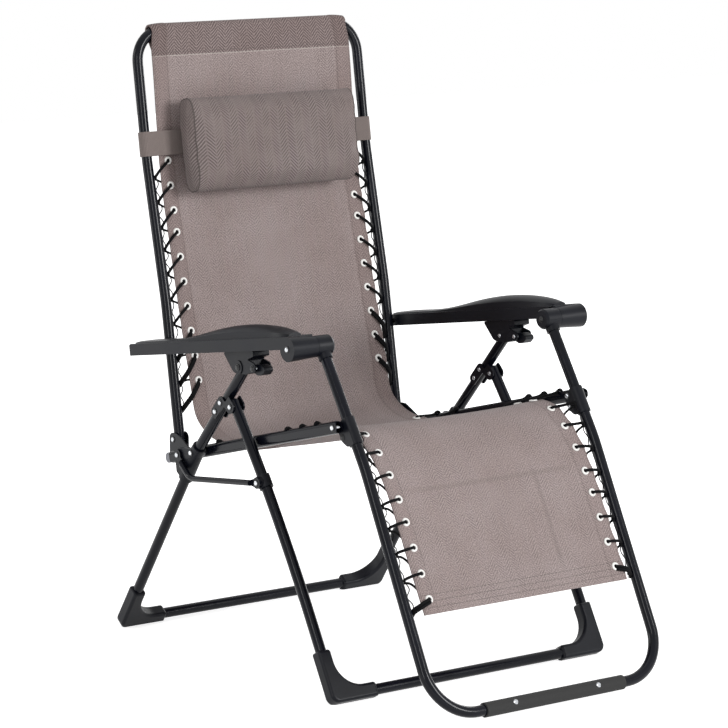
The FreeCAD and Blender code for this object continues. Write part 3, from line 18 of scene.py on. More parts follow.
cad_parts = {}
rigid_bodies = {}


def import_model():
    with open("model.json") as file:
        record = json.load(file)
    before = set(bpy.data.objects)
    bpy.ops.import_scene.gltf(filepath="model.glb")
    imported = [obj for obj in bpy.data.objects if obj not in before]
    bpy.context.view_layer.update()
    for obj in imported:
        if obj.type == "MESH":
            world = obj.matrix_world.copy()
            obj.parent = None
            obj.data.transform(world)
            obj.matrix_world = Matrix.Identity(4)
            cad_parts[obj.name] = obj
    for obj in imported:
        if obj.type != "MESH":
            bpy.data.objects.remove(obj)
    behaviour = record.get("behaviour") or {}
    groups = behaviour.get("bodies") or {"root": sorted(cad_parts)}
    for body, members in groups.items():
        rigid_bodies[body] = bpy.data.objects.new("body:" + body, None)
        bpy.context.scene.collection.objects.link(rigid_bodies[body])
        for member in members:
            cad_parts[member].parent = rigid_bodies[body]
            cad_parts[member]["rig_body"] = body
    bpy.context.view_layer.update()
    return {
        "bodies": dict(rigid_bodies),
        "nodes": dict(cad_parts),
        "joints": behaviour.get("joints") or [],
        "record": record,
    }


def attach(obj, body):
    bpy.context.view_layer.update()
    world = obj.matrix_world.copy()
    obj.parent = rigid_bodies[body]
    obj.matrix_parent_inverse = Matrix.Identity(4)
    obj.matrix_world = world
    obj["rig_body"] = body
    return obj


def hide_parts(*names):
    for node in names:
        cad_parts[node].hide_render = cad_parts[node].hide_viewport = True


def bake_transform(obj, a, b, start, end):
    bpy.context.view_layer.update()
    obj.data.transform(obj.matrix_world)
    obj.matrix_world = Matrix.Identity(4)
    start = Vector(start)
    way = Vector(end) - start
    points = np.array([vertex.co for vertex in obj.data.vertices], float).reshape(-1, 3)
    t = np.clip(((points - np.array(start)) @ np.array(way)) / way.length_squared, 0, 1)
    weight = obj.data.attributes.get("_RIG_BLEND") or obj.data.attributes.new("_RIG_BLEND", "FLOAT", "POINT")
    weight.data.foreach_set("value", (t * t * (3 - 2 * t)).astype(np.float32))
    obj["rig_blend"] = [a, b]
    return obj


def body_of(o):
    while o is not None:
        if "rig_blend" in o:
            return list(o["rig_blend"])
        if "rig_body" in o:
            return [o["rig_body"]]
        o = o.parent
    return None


LOG = logging.getLogger("recliner")
MM = 0.001


# ---------------------------------------------------------------- colour and nodes

def linear(hex_colour: str) -> tuple[float, float, float, float]:
    """Turn an sRGB hex colour into a linear one.

    Args:
        hex_colour: six hex digits after a #.

    Returns:
        Linear red, green and blue, and an alpha of 1.
    """
    channels = [int(hex_colour[i:i + 2], 16) / 255 for i in (1, 3, 5)]
    low = [c / 12.92 if c <= 0.04045 else ((c + 0.055) / 1.055) ** 2.4 for c in channels]
    return (low[0], low[1], low[2], 1.0)


def add_node(tree: bpy.types.NodeTree, kind: str, *values: object, take: int | str = 0,
             stops: tuple[tuple[float, str], ...] = (), named: dict | None = None,
             **settings: object) -> bpy.types.NodeSocket | bpy.types.Node:
    """Add a node with its settings and links.

    Args:
        tree: node tree that gets the node.
        kind: node type without its "ShaderNode" prefix.
        *values: for the first sockets in order, a plain value, an output socket to link, or None.
        take: number or name of the output to hand back.
        stops: places and hex colours of a colour ramp.
        named: more values, by socket name or number.
        **settings: attributes of the node itself.

    Returns:
        The output socket, or the node itself where it has no output.
    """
    node = tree.nodes.new("ShaderNode" + kind)
    for name, value in settings.items():
        setattr(node, name, value)
    for name, value in {**dict(enumerate(values)), **(named or {})}.items():
        if isinstance(value, bpy.types.NodeSocket):
            tree.links.new(value, node.inputs[name])
        elif value is not None:
            node.inputs[name].default_value = value
    while stops and len(node.color_ramp.elements) < len(stops):
        node.color_ramp.elements.new(0.5)
    for element, (place, colour) in zip(node.color_ramp.elements if stops else (), stops):
        element.position, element.color = place, linear(colour)
    return node.outputs[take] if node.outputs else node


@dataclass(frozen=True)
class Finish:
    """What a surface is made of and how that was made."""

    name: str

    def material(self) -> bpy.types.Material:
        """Build the material once, and give the same one after that.

        Returns:
            The material of this finish.
        """
        known = bpy.data.materials.get(self.name)
        if known:
            return known
        made = bpy.data.materials.new(self.name)
        made.use_nodes = True
        tree = made.node_tree
        tree.nodes.clear()
        surface = add_node(tree, "BsdfPrincipled")
        add_node(tree, "OutputMaterial", surface)
        self.dress(tree, surface.node)
        return made

    def dress(self, tree: bpy.types.NodeTree, shader: bpy.types.Node) -> None:
        """Set the shader's sockets; each finish has its own."""
        raise NotImplementedError


@dataclass(frozen=True)
class HardSurface(Finish):
    """Coated, plated or moulded surface: slow drift of colour, fine grain, rubbed patches and dust."""

    colour: str = "#2a2b33"
    deep: str = "#202127"
    roughness: float = 0.35
    grain_mm: float = 1.2
    grain_height_mm: float = 0.03
    coat: float = 0.0
    metallic: float = 0.0
    dust: float = 0.06
    gloss: float = 0.5

    def dress(self, tree: bpy.types.NodeTree, shader: bpy.types.Node) -> None:
        """Colour drifts slowly over the part, and a fine grain bends its highlights.

        Args:
            tree: node tree of the material.
            shader: its principled shader.
        """
        place = add_node(tree, "TexCoord", take="Object")
        drift = add_node(tree, "TexNoise", place, None, 14.0, 3.0)
        tone = add_node(tree, "ValToRGB", drift, stops=((0.3, self.deep), (0.7, self.colour)))
        upward = add_node(tree, "SeparateXYZ", add_node(tree, "NewGeometry", take="Normal"), take=2)
        lying = add_node(tree, "Math", upward, 0.0, operation="MAXIMUM")
        lying = add_node(tree, "Math", lying, self.dust, operation="MULTIPLY")
        patchy = add_node(tree, "Math", lying, drift, operation="MULTIPLY")
        dusty = add_node(tree, "Mix", patchy, named={6: tone, 7: linear("#8f8a84")}, take=2, data_type="RGBA")
        tree.links.new(dusty, shader.inputs["Base Color"])
        shader.inputs["Metallic"].default_value = self.metallic
        shader.inputs["Specular IOR Level"].default_value = self.gloss
        shader.inputs["Coat Weight"].default_value = self.coat
        shader.inputs["Coat Roughness"].default_value = 0.12
        fine = add_node(tree, "TexNoise", place, None, 1 / (self.grain_mm * MM), 2.0)
        rubbed = add_node(tree, "MapRange", drift, 0.3, 0.7, self.roughness - 0.04, self.roughness + 0.07)
        tree.links.new(rubbed, shader.inputs["Roughness"])
        bump = add_node(tree, "Bump", 1.0, self.grain_height_mm * MM, named={"Height": fine})
        tree.links.new(bump, shader.inputs["Normal"])


@dataclass(frozen=True)
class Herringbone(Finish):
    """PVC-coated polyester yarn woven in a herringbone twill, charted in metres across and along."""

    yarn: str = "#928583"
    gap: str = "#6b6060"
    fleck: str = "#b1a4a2"
    column_mm: float = 16.0
    rib_mm: float = 6.0
    rib_height_mm: float = 0.3
    contrast: float = 0.3
    speckle: float = 1.35
    width_mm: float = 0.0
    hem_mm: float = 33.0
    hem_shade: str = "#efebea"
    hem_fades_from: float = 0.75
    seams_mm: tuple[float, ...] = ()
    band_mm: float = 0.0
    band_shade: str = "#dfdad9"
    shaded_creases_mm: tuple[tuple[bool, float, float, float], ...] = ()

    def dress(self, tree: bpy.types.NodeTree, shader: bpy.types.Node) -> None:
        """Diagonal ribs turn over at every column, with plain spines between and single yarns over all.

        Args:
            tree: node tree of the material.
            shader: its principled shader.
        """
        chart = add_node(tree, "UVMap", uv_map="cloth")
        across, along = add_node(tree, "SeparateXYZ", chart).node.outputs[:2]
        column = self.column_mm * MM
        fold = add_node(tree, "Math", across, column, operation="PINGPONG")
        wander = add_node(tree, "TexNoise", chart, None, 60.0, 1.0)
        lean = add_node(tree, "Math", wander, 0.003, fold, operation="MULTIPLY_ADD")
        climb = add_node(tree, "Math", along, lean, operation="ADD")
        rib = add_node(tree, "Math", climb, math.tau / (self.rib_mm * MM), operation="MULTIPLY")
        rib = add_node(tree, "Math", rib, operation="SINE")
        from_spine = add_node(tree, "Math", fold, column / 2, operation="SUBTRACT")
        from_spine = add_node(tree, "Math", from_spine, operation="ABSOLUTE")
        full = add_node(tree, "MapRange", from_spine, column * 0.34, column * 0.5, 1.0, 0.15)
        # single yarns are about 0.9 mm, drawn at 2 mm so that they show
        yarns = add_node(tree, "TexNoise", chart, None, 1 / (2.0 * MM), 2.0)
        patches = add_node(tree, "TexNoise", chart, None, 22.0, 2.0)
        worn = add_node(tree, "TexNoise", chart, None, 7.0, 3.0)
        depth = add_node(tree, "MapRange", patches, 0.38, 0.62, self.contrast * 0.35, self.contrast)
        if self.band_mm:
            doubled = add_node(tree, "MapRange", along, self.band_mm * MM, self.band_mm * MM + 0.001, 1.0, 0.0)
            depth = add_node(tree, "Math", doubled, 0.7, depth, operation="MULTIPLY_ADD")
        depth = add_node(tree, "Math", depth, full, operation="MULTIPLY")
        dark = add_node(tree, "Math", rib, 0.5, -0.2, operation="MULTIPLY_ADD")
        ribbed = add_node(tree, "Math", dark, depth, 0.55, operation="MULTIPLY_ADD")
        grains = add_node(tree, "Math", yarns, 0.5, operation="SUBTRACT")
        grained = add_node(tree, "Math", grains, self.speckle, ribbed, operation="MULTIPLY_ADD")
        stops = ((0.2, self.gap), (0.52, self.yarn), (0.85, self.fleck))
        colour = add_node(tree, "ValToRGB", grained, stops=stops)
        shade = add_node(tree, "ValToRGB", worn, stops=((0.3, "#efebe9"), (0.7, "#ffffff")))
        colour = add_node(tree, "Mix", 1.0, named={6: colour, 7: shade}, take=2, data_type="RGBA",
                          blend_type="MULTIPLY")
        height = add_node(tree, "Math", yarns, 0.8, rib, operation="MULTIPLY_ADD")
        if self.band_mm:
            twice = add_node(tree, "Mix", 1.0, named={6: colour, 7: linear(self.band_shade)}, take=2,
                             data_type="RGBA", blend_type="MULTIPLY")
            colour = add_node(tree, "Mix", doubled, named={6: colour, 7: twice}, take=2, data_type="RGBA")
            # a light line along the band's folded lower edge: painted highlight where the fold's ridge catches the
            # light
            fold_edge = add_node(tree, "Math", along, self.band_mm * MM, 0.0012, operation="COMPARE")
            fold_highlight = add_node(tree, "Math", fold_edge, 0.6, operation="MULTIPLY")
            colour = add_node(tree, "Mix", fold_highlight, named={6: colour, 7: linear("#c3b8b3")}, take=2, data_type="RGBA")
        if self.width_mm:
            colour, height = self.hem(tree, across, along, colour, height)
        tree.links.new(colour, shader.inputs["Base Color"])
        shader.inputs["Roughness"].default_value = 0.78
        shader.inputs["Sheen Weight"].default_value = 0.08
        shader.inputs["Specular IOR Level"].default_value = 0.3
        bump = add_node(tree, "Bump", 0.6, self.rib_height_mm * MM, named={"Height": height})
        tree.links.new(bump, shader.inputs["Normal"])

    def hem(self, tree: bpy.types.NodeTree, across: bpy.types.NodeSocket, along: bpy.types.NodeSocket,
            colour: bpy.types.NodeSocket, height: bpy.types.NodeSocket) -> tuple:
        """Fold both edges over, darker where the cloth is double, and stitch them down.

        Args:
            tree: node tree of the cloth.
            across: metres across the cloth.
            along: metres along it.
            colour: colour of the weave.
            height: height of the weave.

        Returns:
            The colour and height sockets with the hems on them.
        """
        reach = add_node(tree, "Math", across, self.width_mm / 2 * MM, operation="SUBTRACT")
        reach = add_node(tree, "Math", reach, operation="ABSOLUTE")
        inner = (self.width_mm / 2 - self.hem_mm) * MM
        double = add_node(tree, "MapRange", reach, inner - 0.0015, inner + 0.0015)
        faded = add_node(tree, "MapRange", along, self.hem_fades_from, self.hem_fades_from + 0.15, 1.0, 0.3)
        strength = add_node(tree, "Math", double, faded, operation="MULTIPLY")
        dimmed = add_node(tree, "Mix", 1.0, named={6: colour, 7: linear(self.hem_shade)}, take=2,
                          data_type="RGBA", blend_type="MULTIPLY")
        colour = add_node(tree, "Mix", strength, named={6: colour, 7: dimmed}, take=2, data_type="RGBA")
        # thread of 0.5 mm in 4 mm stitches, drawn 1.1 mm wide so that it shows
        lines = [(reach, inner + 0.003, along), (reach, self.width_mm / 2 * MM - 0.003, along)]
        lines += [(along, seam * MM, across) for seam in self.seams_mm]
        for measure, place, runs in lines:
            near = add_node(tree, "Math", measure, place, 0.00055, operation="COMPARE")
            stitch = add_node(tree, "Math", runs, 0.004, operation="PINGPONG")
            stitch = add_node(tree, "Math", stitch, 0.001, operation="GREATER_THAN")
            thread = add_node(tree, "Math", near, stitch, operation="MULTIPLY")
            shown = add_node(tree, "Math", thread, 0.7, operation="MULTIPLY")
            colour = add_node(tree, "Mix", shown, named={6: colour, 7: linear("#5d5552")}, take=2, data_type="RGBA")
            height = add_node(tree, "Math", near, -1.5, height, operation="MULTIPLY_ADD")
        # crease lines 7 mm wide, faint, each running only part of the way: a shallow groove in the bump, with painted
        # shade darkening the colour along it
        for lies_across, place, first, last in self.shaded_creases_mm:
            measure, runs = (along, across) if lies_across else (across, along)
            off = add_node(tree, "Math", measure, place * MM, operation="SUBTRACT")
            off = add_node(tree, "Math", off, operation="ABSOLUTE")
            line = add_node(tree, "MapRange", off, 0.0, 0.007, 0.3, 0.0)
            begun = add_node(tree, "MapRange", runs, first * MM, first * MM + 0.03)
            ended = add_node(tree, "MapRange", runs, last * MM - 0.03, last * MM, 1.0, 0.0)
            span = add_node(tree, "Math", begun, ended, operation="MULTIPLY")
            shown = add_node(tree, "Math", line, span, operation="MULTIPLY")
            colour = add_node(tree, "Mix", shown, named={6: colour, 7: linear("#6a5f5c")}, take=2, data_type="RGBA")
            height = add_node(tree, "Math", shown, -3.0, height, operation="MULTIPLY_ADD")
        return colour, height


@dataclass(frozen=True)
class Webbing(Finish):
    """Woven elastic tape or braid: fine ribs across its length and a matt, slightly hairy surface."""

    colour: str = "#9b8f88"
    deep: str = "#867a74"
    rib_mm: float = 2.4
    gloss: float = 0.4
    sheen: float = 0.1

    def dress(self, tree: bpy.types.NodeTree, shader: bpy.types.Node) -> None:
        """Ribs run across the tape, and its yarns vary in tone.

        Args:
            tree: node tree of the material.
            shader: its principled shader.
        """
        chart = add_node(tree, "UVMap", uv_map="cloth")
        along = add_node(tree, "SeparateXYZ", chart, take=1)
        rib = add_node(tree, "Math", along, math.tau / (self.rib_mm * MM), operation="MULTIPLY")
        rib = add_node(tree, "Math", rib, operation="SINE")
        hairs = add_node(tree, "TexNoise", chart, None, 900.0, 2.0)
        tone = add_node(tree, "Math", rib, 0.2, hairs, operation="MULTIPLY_ADD")
        colour = add_node(tree, "ValToRGB", tone, stops=((0.3, self.deep), (0.65, self.colour)))
        tree.links.new(colour, shader.inputs["Base Color"])
        shader.inputs["Roughness"].default_value = 0.8
        shader.inputs["Specular IOR Level"].default_value = self.gloss
        shader.inputs["Sheen Weight"].default_value = self.sheen
        bump = add_node(tree, "Bump", 0.6, 0.0003, named={"Height": tone})
        tree.links.new(bump, shader.inputs["Normal"])


class Finishes(Enum):
    """Every finish of the recliner, by what it is."""

    # powder coat on steel: near black with a blue cast, a soft orange peel and clear long highlights
    FRAME = HardSurface("satin_powder_coat", "#0b0d17", "#080a11", 0.15, 2.5, 0.015, dust=0.0,
                         gloss=0.18)
    # bright zinc: rivets pick up the studio as small white points
    ZINC = HardSurface("zinc_plated_steel", "#d3d5d8", "#b4b7bb", 0.25, 1.0, 0.01, metallic=1.0, dust=0.0)
    # black oxide: the dark ring round each bright rivet head
    OXIDE = HardSurface("black_oxide_washer", "#0d0d10", "#09090b", 0.45, 1.0, 0.02, dust=0.0)
    # moulded polypropylene: near black with a blue cast, satin, with a fine spark-eroded grain
    PLASTIC = HardSurface("moulded_polypropylene", "#0e1018", "#0a0c12", 0.36, 0.8, 0.03, dust=0.01,
                           gloss=0.17)
    # natural nylon: pale grey, waxy
    NYLON = HardSurface("natural_nylon", "#85868d", "#73747b", 0.4, 1.0, 0.02)
    # acetal eyelets: clean white with a soft gloss
    ACETAL = HardSurface("white_acetal", "#f2f1ee", "#e6e4e0", 0.35, 1.0, 0.01, dust=0.0)
    # thermoplastic rubber: dull black with a coarse grip grain
    RUBBER = HardSurface("grip_rubber", "#0e0f15", "#0a0a0e", 0.45, 1.8, 0.15, dust=0.0, gloss=0.2)
    # braided elastic cord: near black, matt
    ELASTIC = Webbing("braided_elastic", "#0b0b0d", "#040405", 1.6, 0.12, 0.0)
    # elastic tape of the pillow straps: mid taupe with fine cross ribs
    STRAP = Webbing("taupe_elastic_tape", "#7b706c", "#665c59", 2.4)
    # coated polyester twill of the sling: taupe, faint ribs, speckled, hems a shade darker, faint creases darkened
    # with painted shade
    SLING = Herringbone("sling_twill", width_mm=436.0, seams_mm=(125.0, 130.5, 1599.0, 1610.0, 1621.0),
                        band_mm=131.0, shaded_creases_mm=((True, 1420.0, 40.0, 400.0), (False, 313.0, 1400.0, 1600.0)))
    # the same twill doubled over the pillow: darker, with a clear herringbone
    PILLOW = Herringbone("pillow_twill", "#7e7371", "#5f5554", "#918684", 17.5, 6.4, 0.3, 0.8, 0.7)
    # bias tape and overlock thread round the pillow's end panels, dark enough to carry painted shadow along these
    # seams too
    PIPING = Webbing("pillow_piping", "#5d5451", "#463f3d", 3.0)


SLOT_FINISHES: dict[str, Finishes] = {
    "painted_steel": Finishes.FRAME, "zinc": Finishes.ZINC, "black_plastic": Finishes.PLASTIC,
    "nylon": Finishes.NYLON, "eyelet_plastic": Finishes.ACETAL, "grip_rubber": Finishes.RUBBER,
    "elastic": Finishes.ELASTIC, "sling_textile": Finishes.SLING, "pillow_textile": Finishes.STRAP,
}


# ---------------------------------------------------------------- mesh helpers

def even(points: np.ndarray, spacing: float) -> np.ndarray:
    """Resample a polyline at an even spacing.

    Args:
        points: points in order, as rows.
        spacing: distance between samples.

    Returns:
        Samples as rows.
    """
    run = np.concatenate([[0.0], np.cumsum(np.linalg.norm(np.diff(points, axis=0), axis=1))])
    stations = np.linspace(0, run[-1], max(2, int(round(run[-1] / spacing)) + 1))
    return np.stack([np.interp(stations, run, points[:, i]) for i in range(points.shape[1])], axis=1)


def smooth_line(points: np.ndarray, spacing: float) -> np.ndarray:
    """Resample a line smoothly at an even spacing, through every one of its points.

    Args:
        points: points in order, as rows.
        spacing: distance between samples.

    Returns:
        Samples as rows.
    """
    raw = np.array(points, float)
    steps = np.concatenate([[0.0], np.cumsum(np.linalg.norm(np.diff(raw, axis=0), axis=1))])
    count = len(raw)
    system, right = np.zeros((count, count)), np.zeros(raw.shape)
    system[0, 0] = system[-1, -1] = 1.0
    gaps = np.diff(steps)
    for i in range(1, count - 1):
        system[i, i - 1:i + 2] = gaps[i - 1], 2 * (gaps[i - 1] + gaps[i]), gaps[i]
        right[i] = 6 * ((raw[i + 1] - raw[i]) / gaps[i] - (raw[i] - raw[i - 1]) / gaps[i - 1])
    bends = np.linalg.solve(system, right)
    fine = np.linspace(0, steps[-1], max(50, int(steps[-1] / spacing) * 8))
    at = np.clip(np.searchsorted(steps, fine, side="right") - 1, 0, count - 2)
    gap, left, far = gaps[at][:, None], (steps[at + 1] - fine)[:, None], (fine - steps[at])[:, None]
    dense = (bends[at] * left ** 3 + bends[at + 1] * far ** 3) / (6 * gap)
    dense += (raw[at] / gap - bends[at] * gap / 6) * left + (raw[at + 1] / gap - bends[at + 1] * gap / 6) * far
    return even(dense, spacing)


def soft_limit(values: np.ndarray, limit: float, ease: float) -> np.ndarray:
    """Bend values over as they near a limit, so that none passes it.

    Args:
        values: distances.
        limit: largest distance allowed.
        ease: how far below the limit the bending starts.

    Returns:
        The same values, with the large ones eased in.
    """
    start = limit - ease
    return np.where(values > start, start + ease * np.tanh((values - start) / ease), values)


@dataclass
class Maker:
    """Collects shapes into one mesh, with a chart in metres for woven finishes."""

    points: list = field(default_factory=list)
    faces: list = field(default_factory=list)
    chart: list = field(default_factory=list)
    tints: list = field(default_factory=list)

    def grid(self, rows: np.ndarray, chart: np.ndarray | None = None, closed: bool = False, tint: int = 0) -> None:
        """Add a grid of points as quads.

        Args:
            rows: rows x columns x 3.
            chart: rows x columns x 2 in metres, measured along the grid where none is given.
            closed: whether the last column joins the first.
            tint: which of the piece's finishes it takes.
        """
        tall, wide = rows.shape[:2]
        if chart is None:
            along = np.concatenate([[0.0], np.cumsum(np.linalg.norm(np.diff(rows[:, 0], axis=0), axis=1))])
            round_it = np.concatenate([[0.0], np.cumsum(np.linalg.norm(np.diff(rows[0], axis=0), axis=1))])
            chart = np.stack(np.broadcast_arrays(round_it[None, :], along[:, None]), axis=-1)
        first = len(self.points)
        self.points += rows.reshape(-1, 3).tolist()
        self.chart += chart.reshape(-1, 2).tolist()
        for r in range(tall - 1):
            for c in range(wide if closed else wide - 1):
                d = (c + 1) % wide
                self.faces.append(tuple(first + i for i in (r * wide + c, r * wide + d,
                                                            (r + 1) * wide + d, (r + 1) * wide + c)))
                self.tints.append(tint)

    def lathe(self, profile: list[tuple[float, float]], place: Matrix, sides: int = 20, tint: int = 0) -> None:
        """Turn a profile round an axis.

        Args:
            profile: radius and height pairs.
            place: where the axis stands, along its own Z.
            sides: points round it.
            tint: which of the piece's finishes it takes.
        """
        angles = np.linspace(0, math.tau, sides, endpoint=False)
        rows = np.array([[place @ Vector((r * math.cos(a), r * math.sin(a), z)) for a in angles] for r, z in profile])
        self.grid(rows, closed=True, tint=tint)

    def cord(self, line: np.ndarray, radius: float, sides: int = 8, taper: Callable | None = None) -> None:
        """Run a round cord along a line.

        Args:
            line: points in order.
            radius: the cord's radius.
            sides: points round it.
            taper: share of the radius, by the share of the way along.
        """
        ahead = np.gradient(line, axis=0)
        ahead /= np.linalg.norm(ahead, axis=1)[:, None]
        side = np.cross(ahead[0], (0.31, 0.2, 0.93))
        angles = np.linspace(0, math.tau, sides, endpoint=False)
        rows = []
        for number, (point, way) in enumerate(zip(line, ahead)):
            side = side - way * np.dot(side, way)
            side /= np.linalg.norm(side)
            up = np.cross(way, side)
            thick = radius * (taper(number / (len(line) - 1)) if taper else 1.0)
            rows.append([point + thick * (math.cos(a) * side + math.sin(a) * up) for a in angles])
        self.grid(np.array(rows), closed=True)
        for end, row in ((line[0], rows[0]), (line[-1], rows[-1])):
            self.grid(np.array([row, [end] * sides]), closed=True)

    def piece(self, name: str, *finishes: Finishes) -> bpy.types.Object:
        """Make the object.

        Args:
            name: the piece's name.
            *finishes: its finishes, in the order of their tints.

        Returns:
            The linked object.
        """
        mesh = bpy.data.meshes.new(name)
        mesh.from_pydata(self.points, [], self.faces)
        layer = mesh.uv_layers.new(name="cloth")
        corners = np.empty(len(mesh.loops), int)
        mesh.loops.foreach_get("vertex_index", corners)
        layer.data.foreach_set("uv", np.array(self.chart, float)[corners].ravel())
        for finish in finishes:
            mesh.materials.append(finish.value.material())
        mesh.polygons.foreach_set("material_index", self.tints)
        mesh.shade_smooth()
        mesh.validate()
        made = bpy.data.objects.new(name, mesh)
        bpy.context.scene.collection.objects.link(made)
        return made


def settle(piece: bpy.types.Object) -> bpy.types.Object:
    """Apply every modifier of a piece to its mesh.

    Args:
        piece: object whose modifiers are applied.

    Returns:
        The same object.
    """
    bpy.context.view_layer.update()
    graph = bpy.context.evaluated_depsgraph_get()
    mesh = bpy.data.meshes.new_from_object(piece.evaluated_get(graph), depsgraph=graph)
    piece.modifiers.clear()
    piece.data = mesh
    return piece


def islands(node: bpy.types.Object) -> list[np.ndarray]:
    """Split a node's points into its loose pieces.

    Args:
        node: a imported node.

    Returns:
        The points of each loose piece, right side of the chair first.
    """
    mesh = node.data
    points = np.empty(len(mesh.vertices) * 3)
    mesh.vertices.foreach_get("co", points)
    points = points.reshape(-1, 3)
    known: dict[tuple, int] = {}
    same = [known.setdefault(tuple(row), len(known)) for row in np.round(points, 5).tolist()]
    parent = list(range(len(known)))

    def root(i: int) -> int:
        """Find the piece that a point belongs to so far.

        Args:
            i: number of the point.

        Returns:
            Number of the point that stands for that piece.
        """
        while parent[i] != i:
            parent[i] = parent[parent[i]]
            i = parent[i]
        return i

    for edge in mesh.edges:
        parent[root(same[edge.vertices[0]])] = root(same[edge.vertices[1]])
    groups: dict[int, list] = {}
    for number, row in enumerate(points):
        groups.setdefault(root(same[number]), []).append(row)
    found = [np.array(rows) for rows in groups.values() if len(rows) > 5]
    return sorted(found, key=lambda rows: tuple(np.round(rows.mean(axis=0), 3)))


# ---------------------------------------------------------------- the chair's lines

BACK_TUBE = np.array([(0.318, 0.366), (0.3585, 0.610), (0.416, 0.860), (0.451, 1.088)])
BACK_TUBE_X = 0.242
BACK_CORNER = 0.058
FOOT_TUBE = np.array([(-0.129, 0.594), (-0.254, 0.402), (-0.450, 0.020)])
FOOT_TUBE_X = 0.245
RAIL = np.array([(0.308, 0.3365), (-0.196, 0.467)])
RAIL_X = 0.2635
TUBE_RADIUS = 0.0095
CLOTH_LINE = np.array([
    (0.4398, 1.0890), (0.4305, 1.0200), (0.4060, 0.8130), (0.3860, 0.7270), (0.3650, 0.6400), (0.3430, 0.5530),
    (0.3230, 0.4800), (0.3130, 0.4400), (0.3030, 0.4100), (0.2770, 0.3875), (0.2400, 0.3745), (0.1900, 0.3700),
    (0.1400, 0.3720), (0.0900, 0.3810), (0.0000, 0.4070), (-0.0700, 0.4310), (-0.1200, 0.4470), (-0.1500, 0.4535),
    (-0.1750, 0.4520), (-0.1970, 0.4430), (-0.2260, 0.4230), (-0.2570, 0.3910), (-0.3050, 0.3150),
    (-0.3470, 0.2360), (-0.3680, 0.1980), (-0.3800, 0.1760)])
BACK_UP = np.array([0.0, 0.15173, 0.98842])
BACK_FRONT = np.array([0.0, -0.98842, 0.15173])



# ---------------------------------------------------------------- sub-assemblies

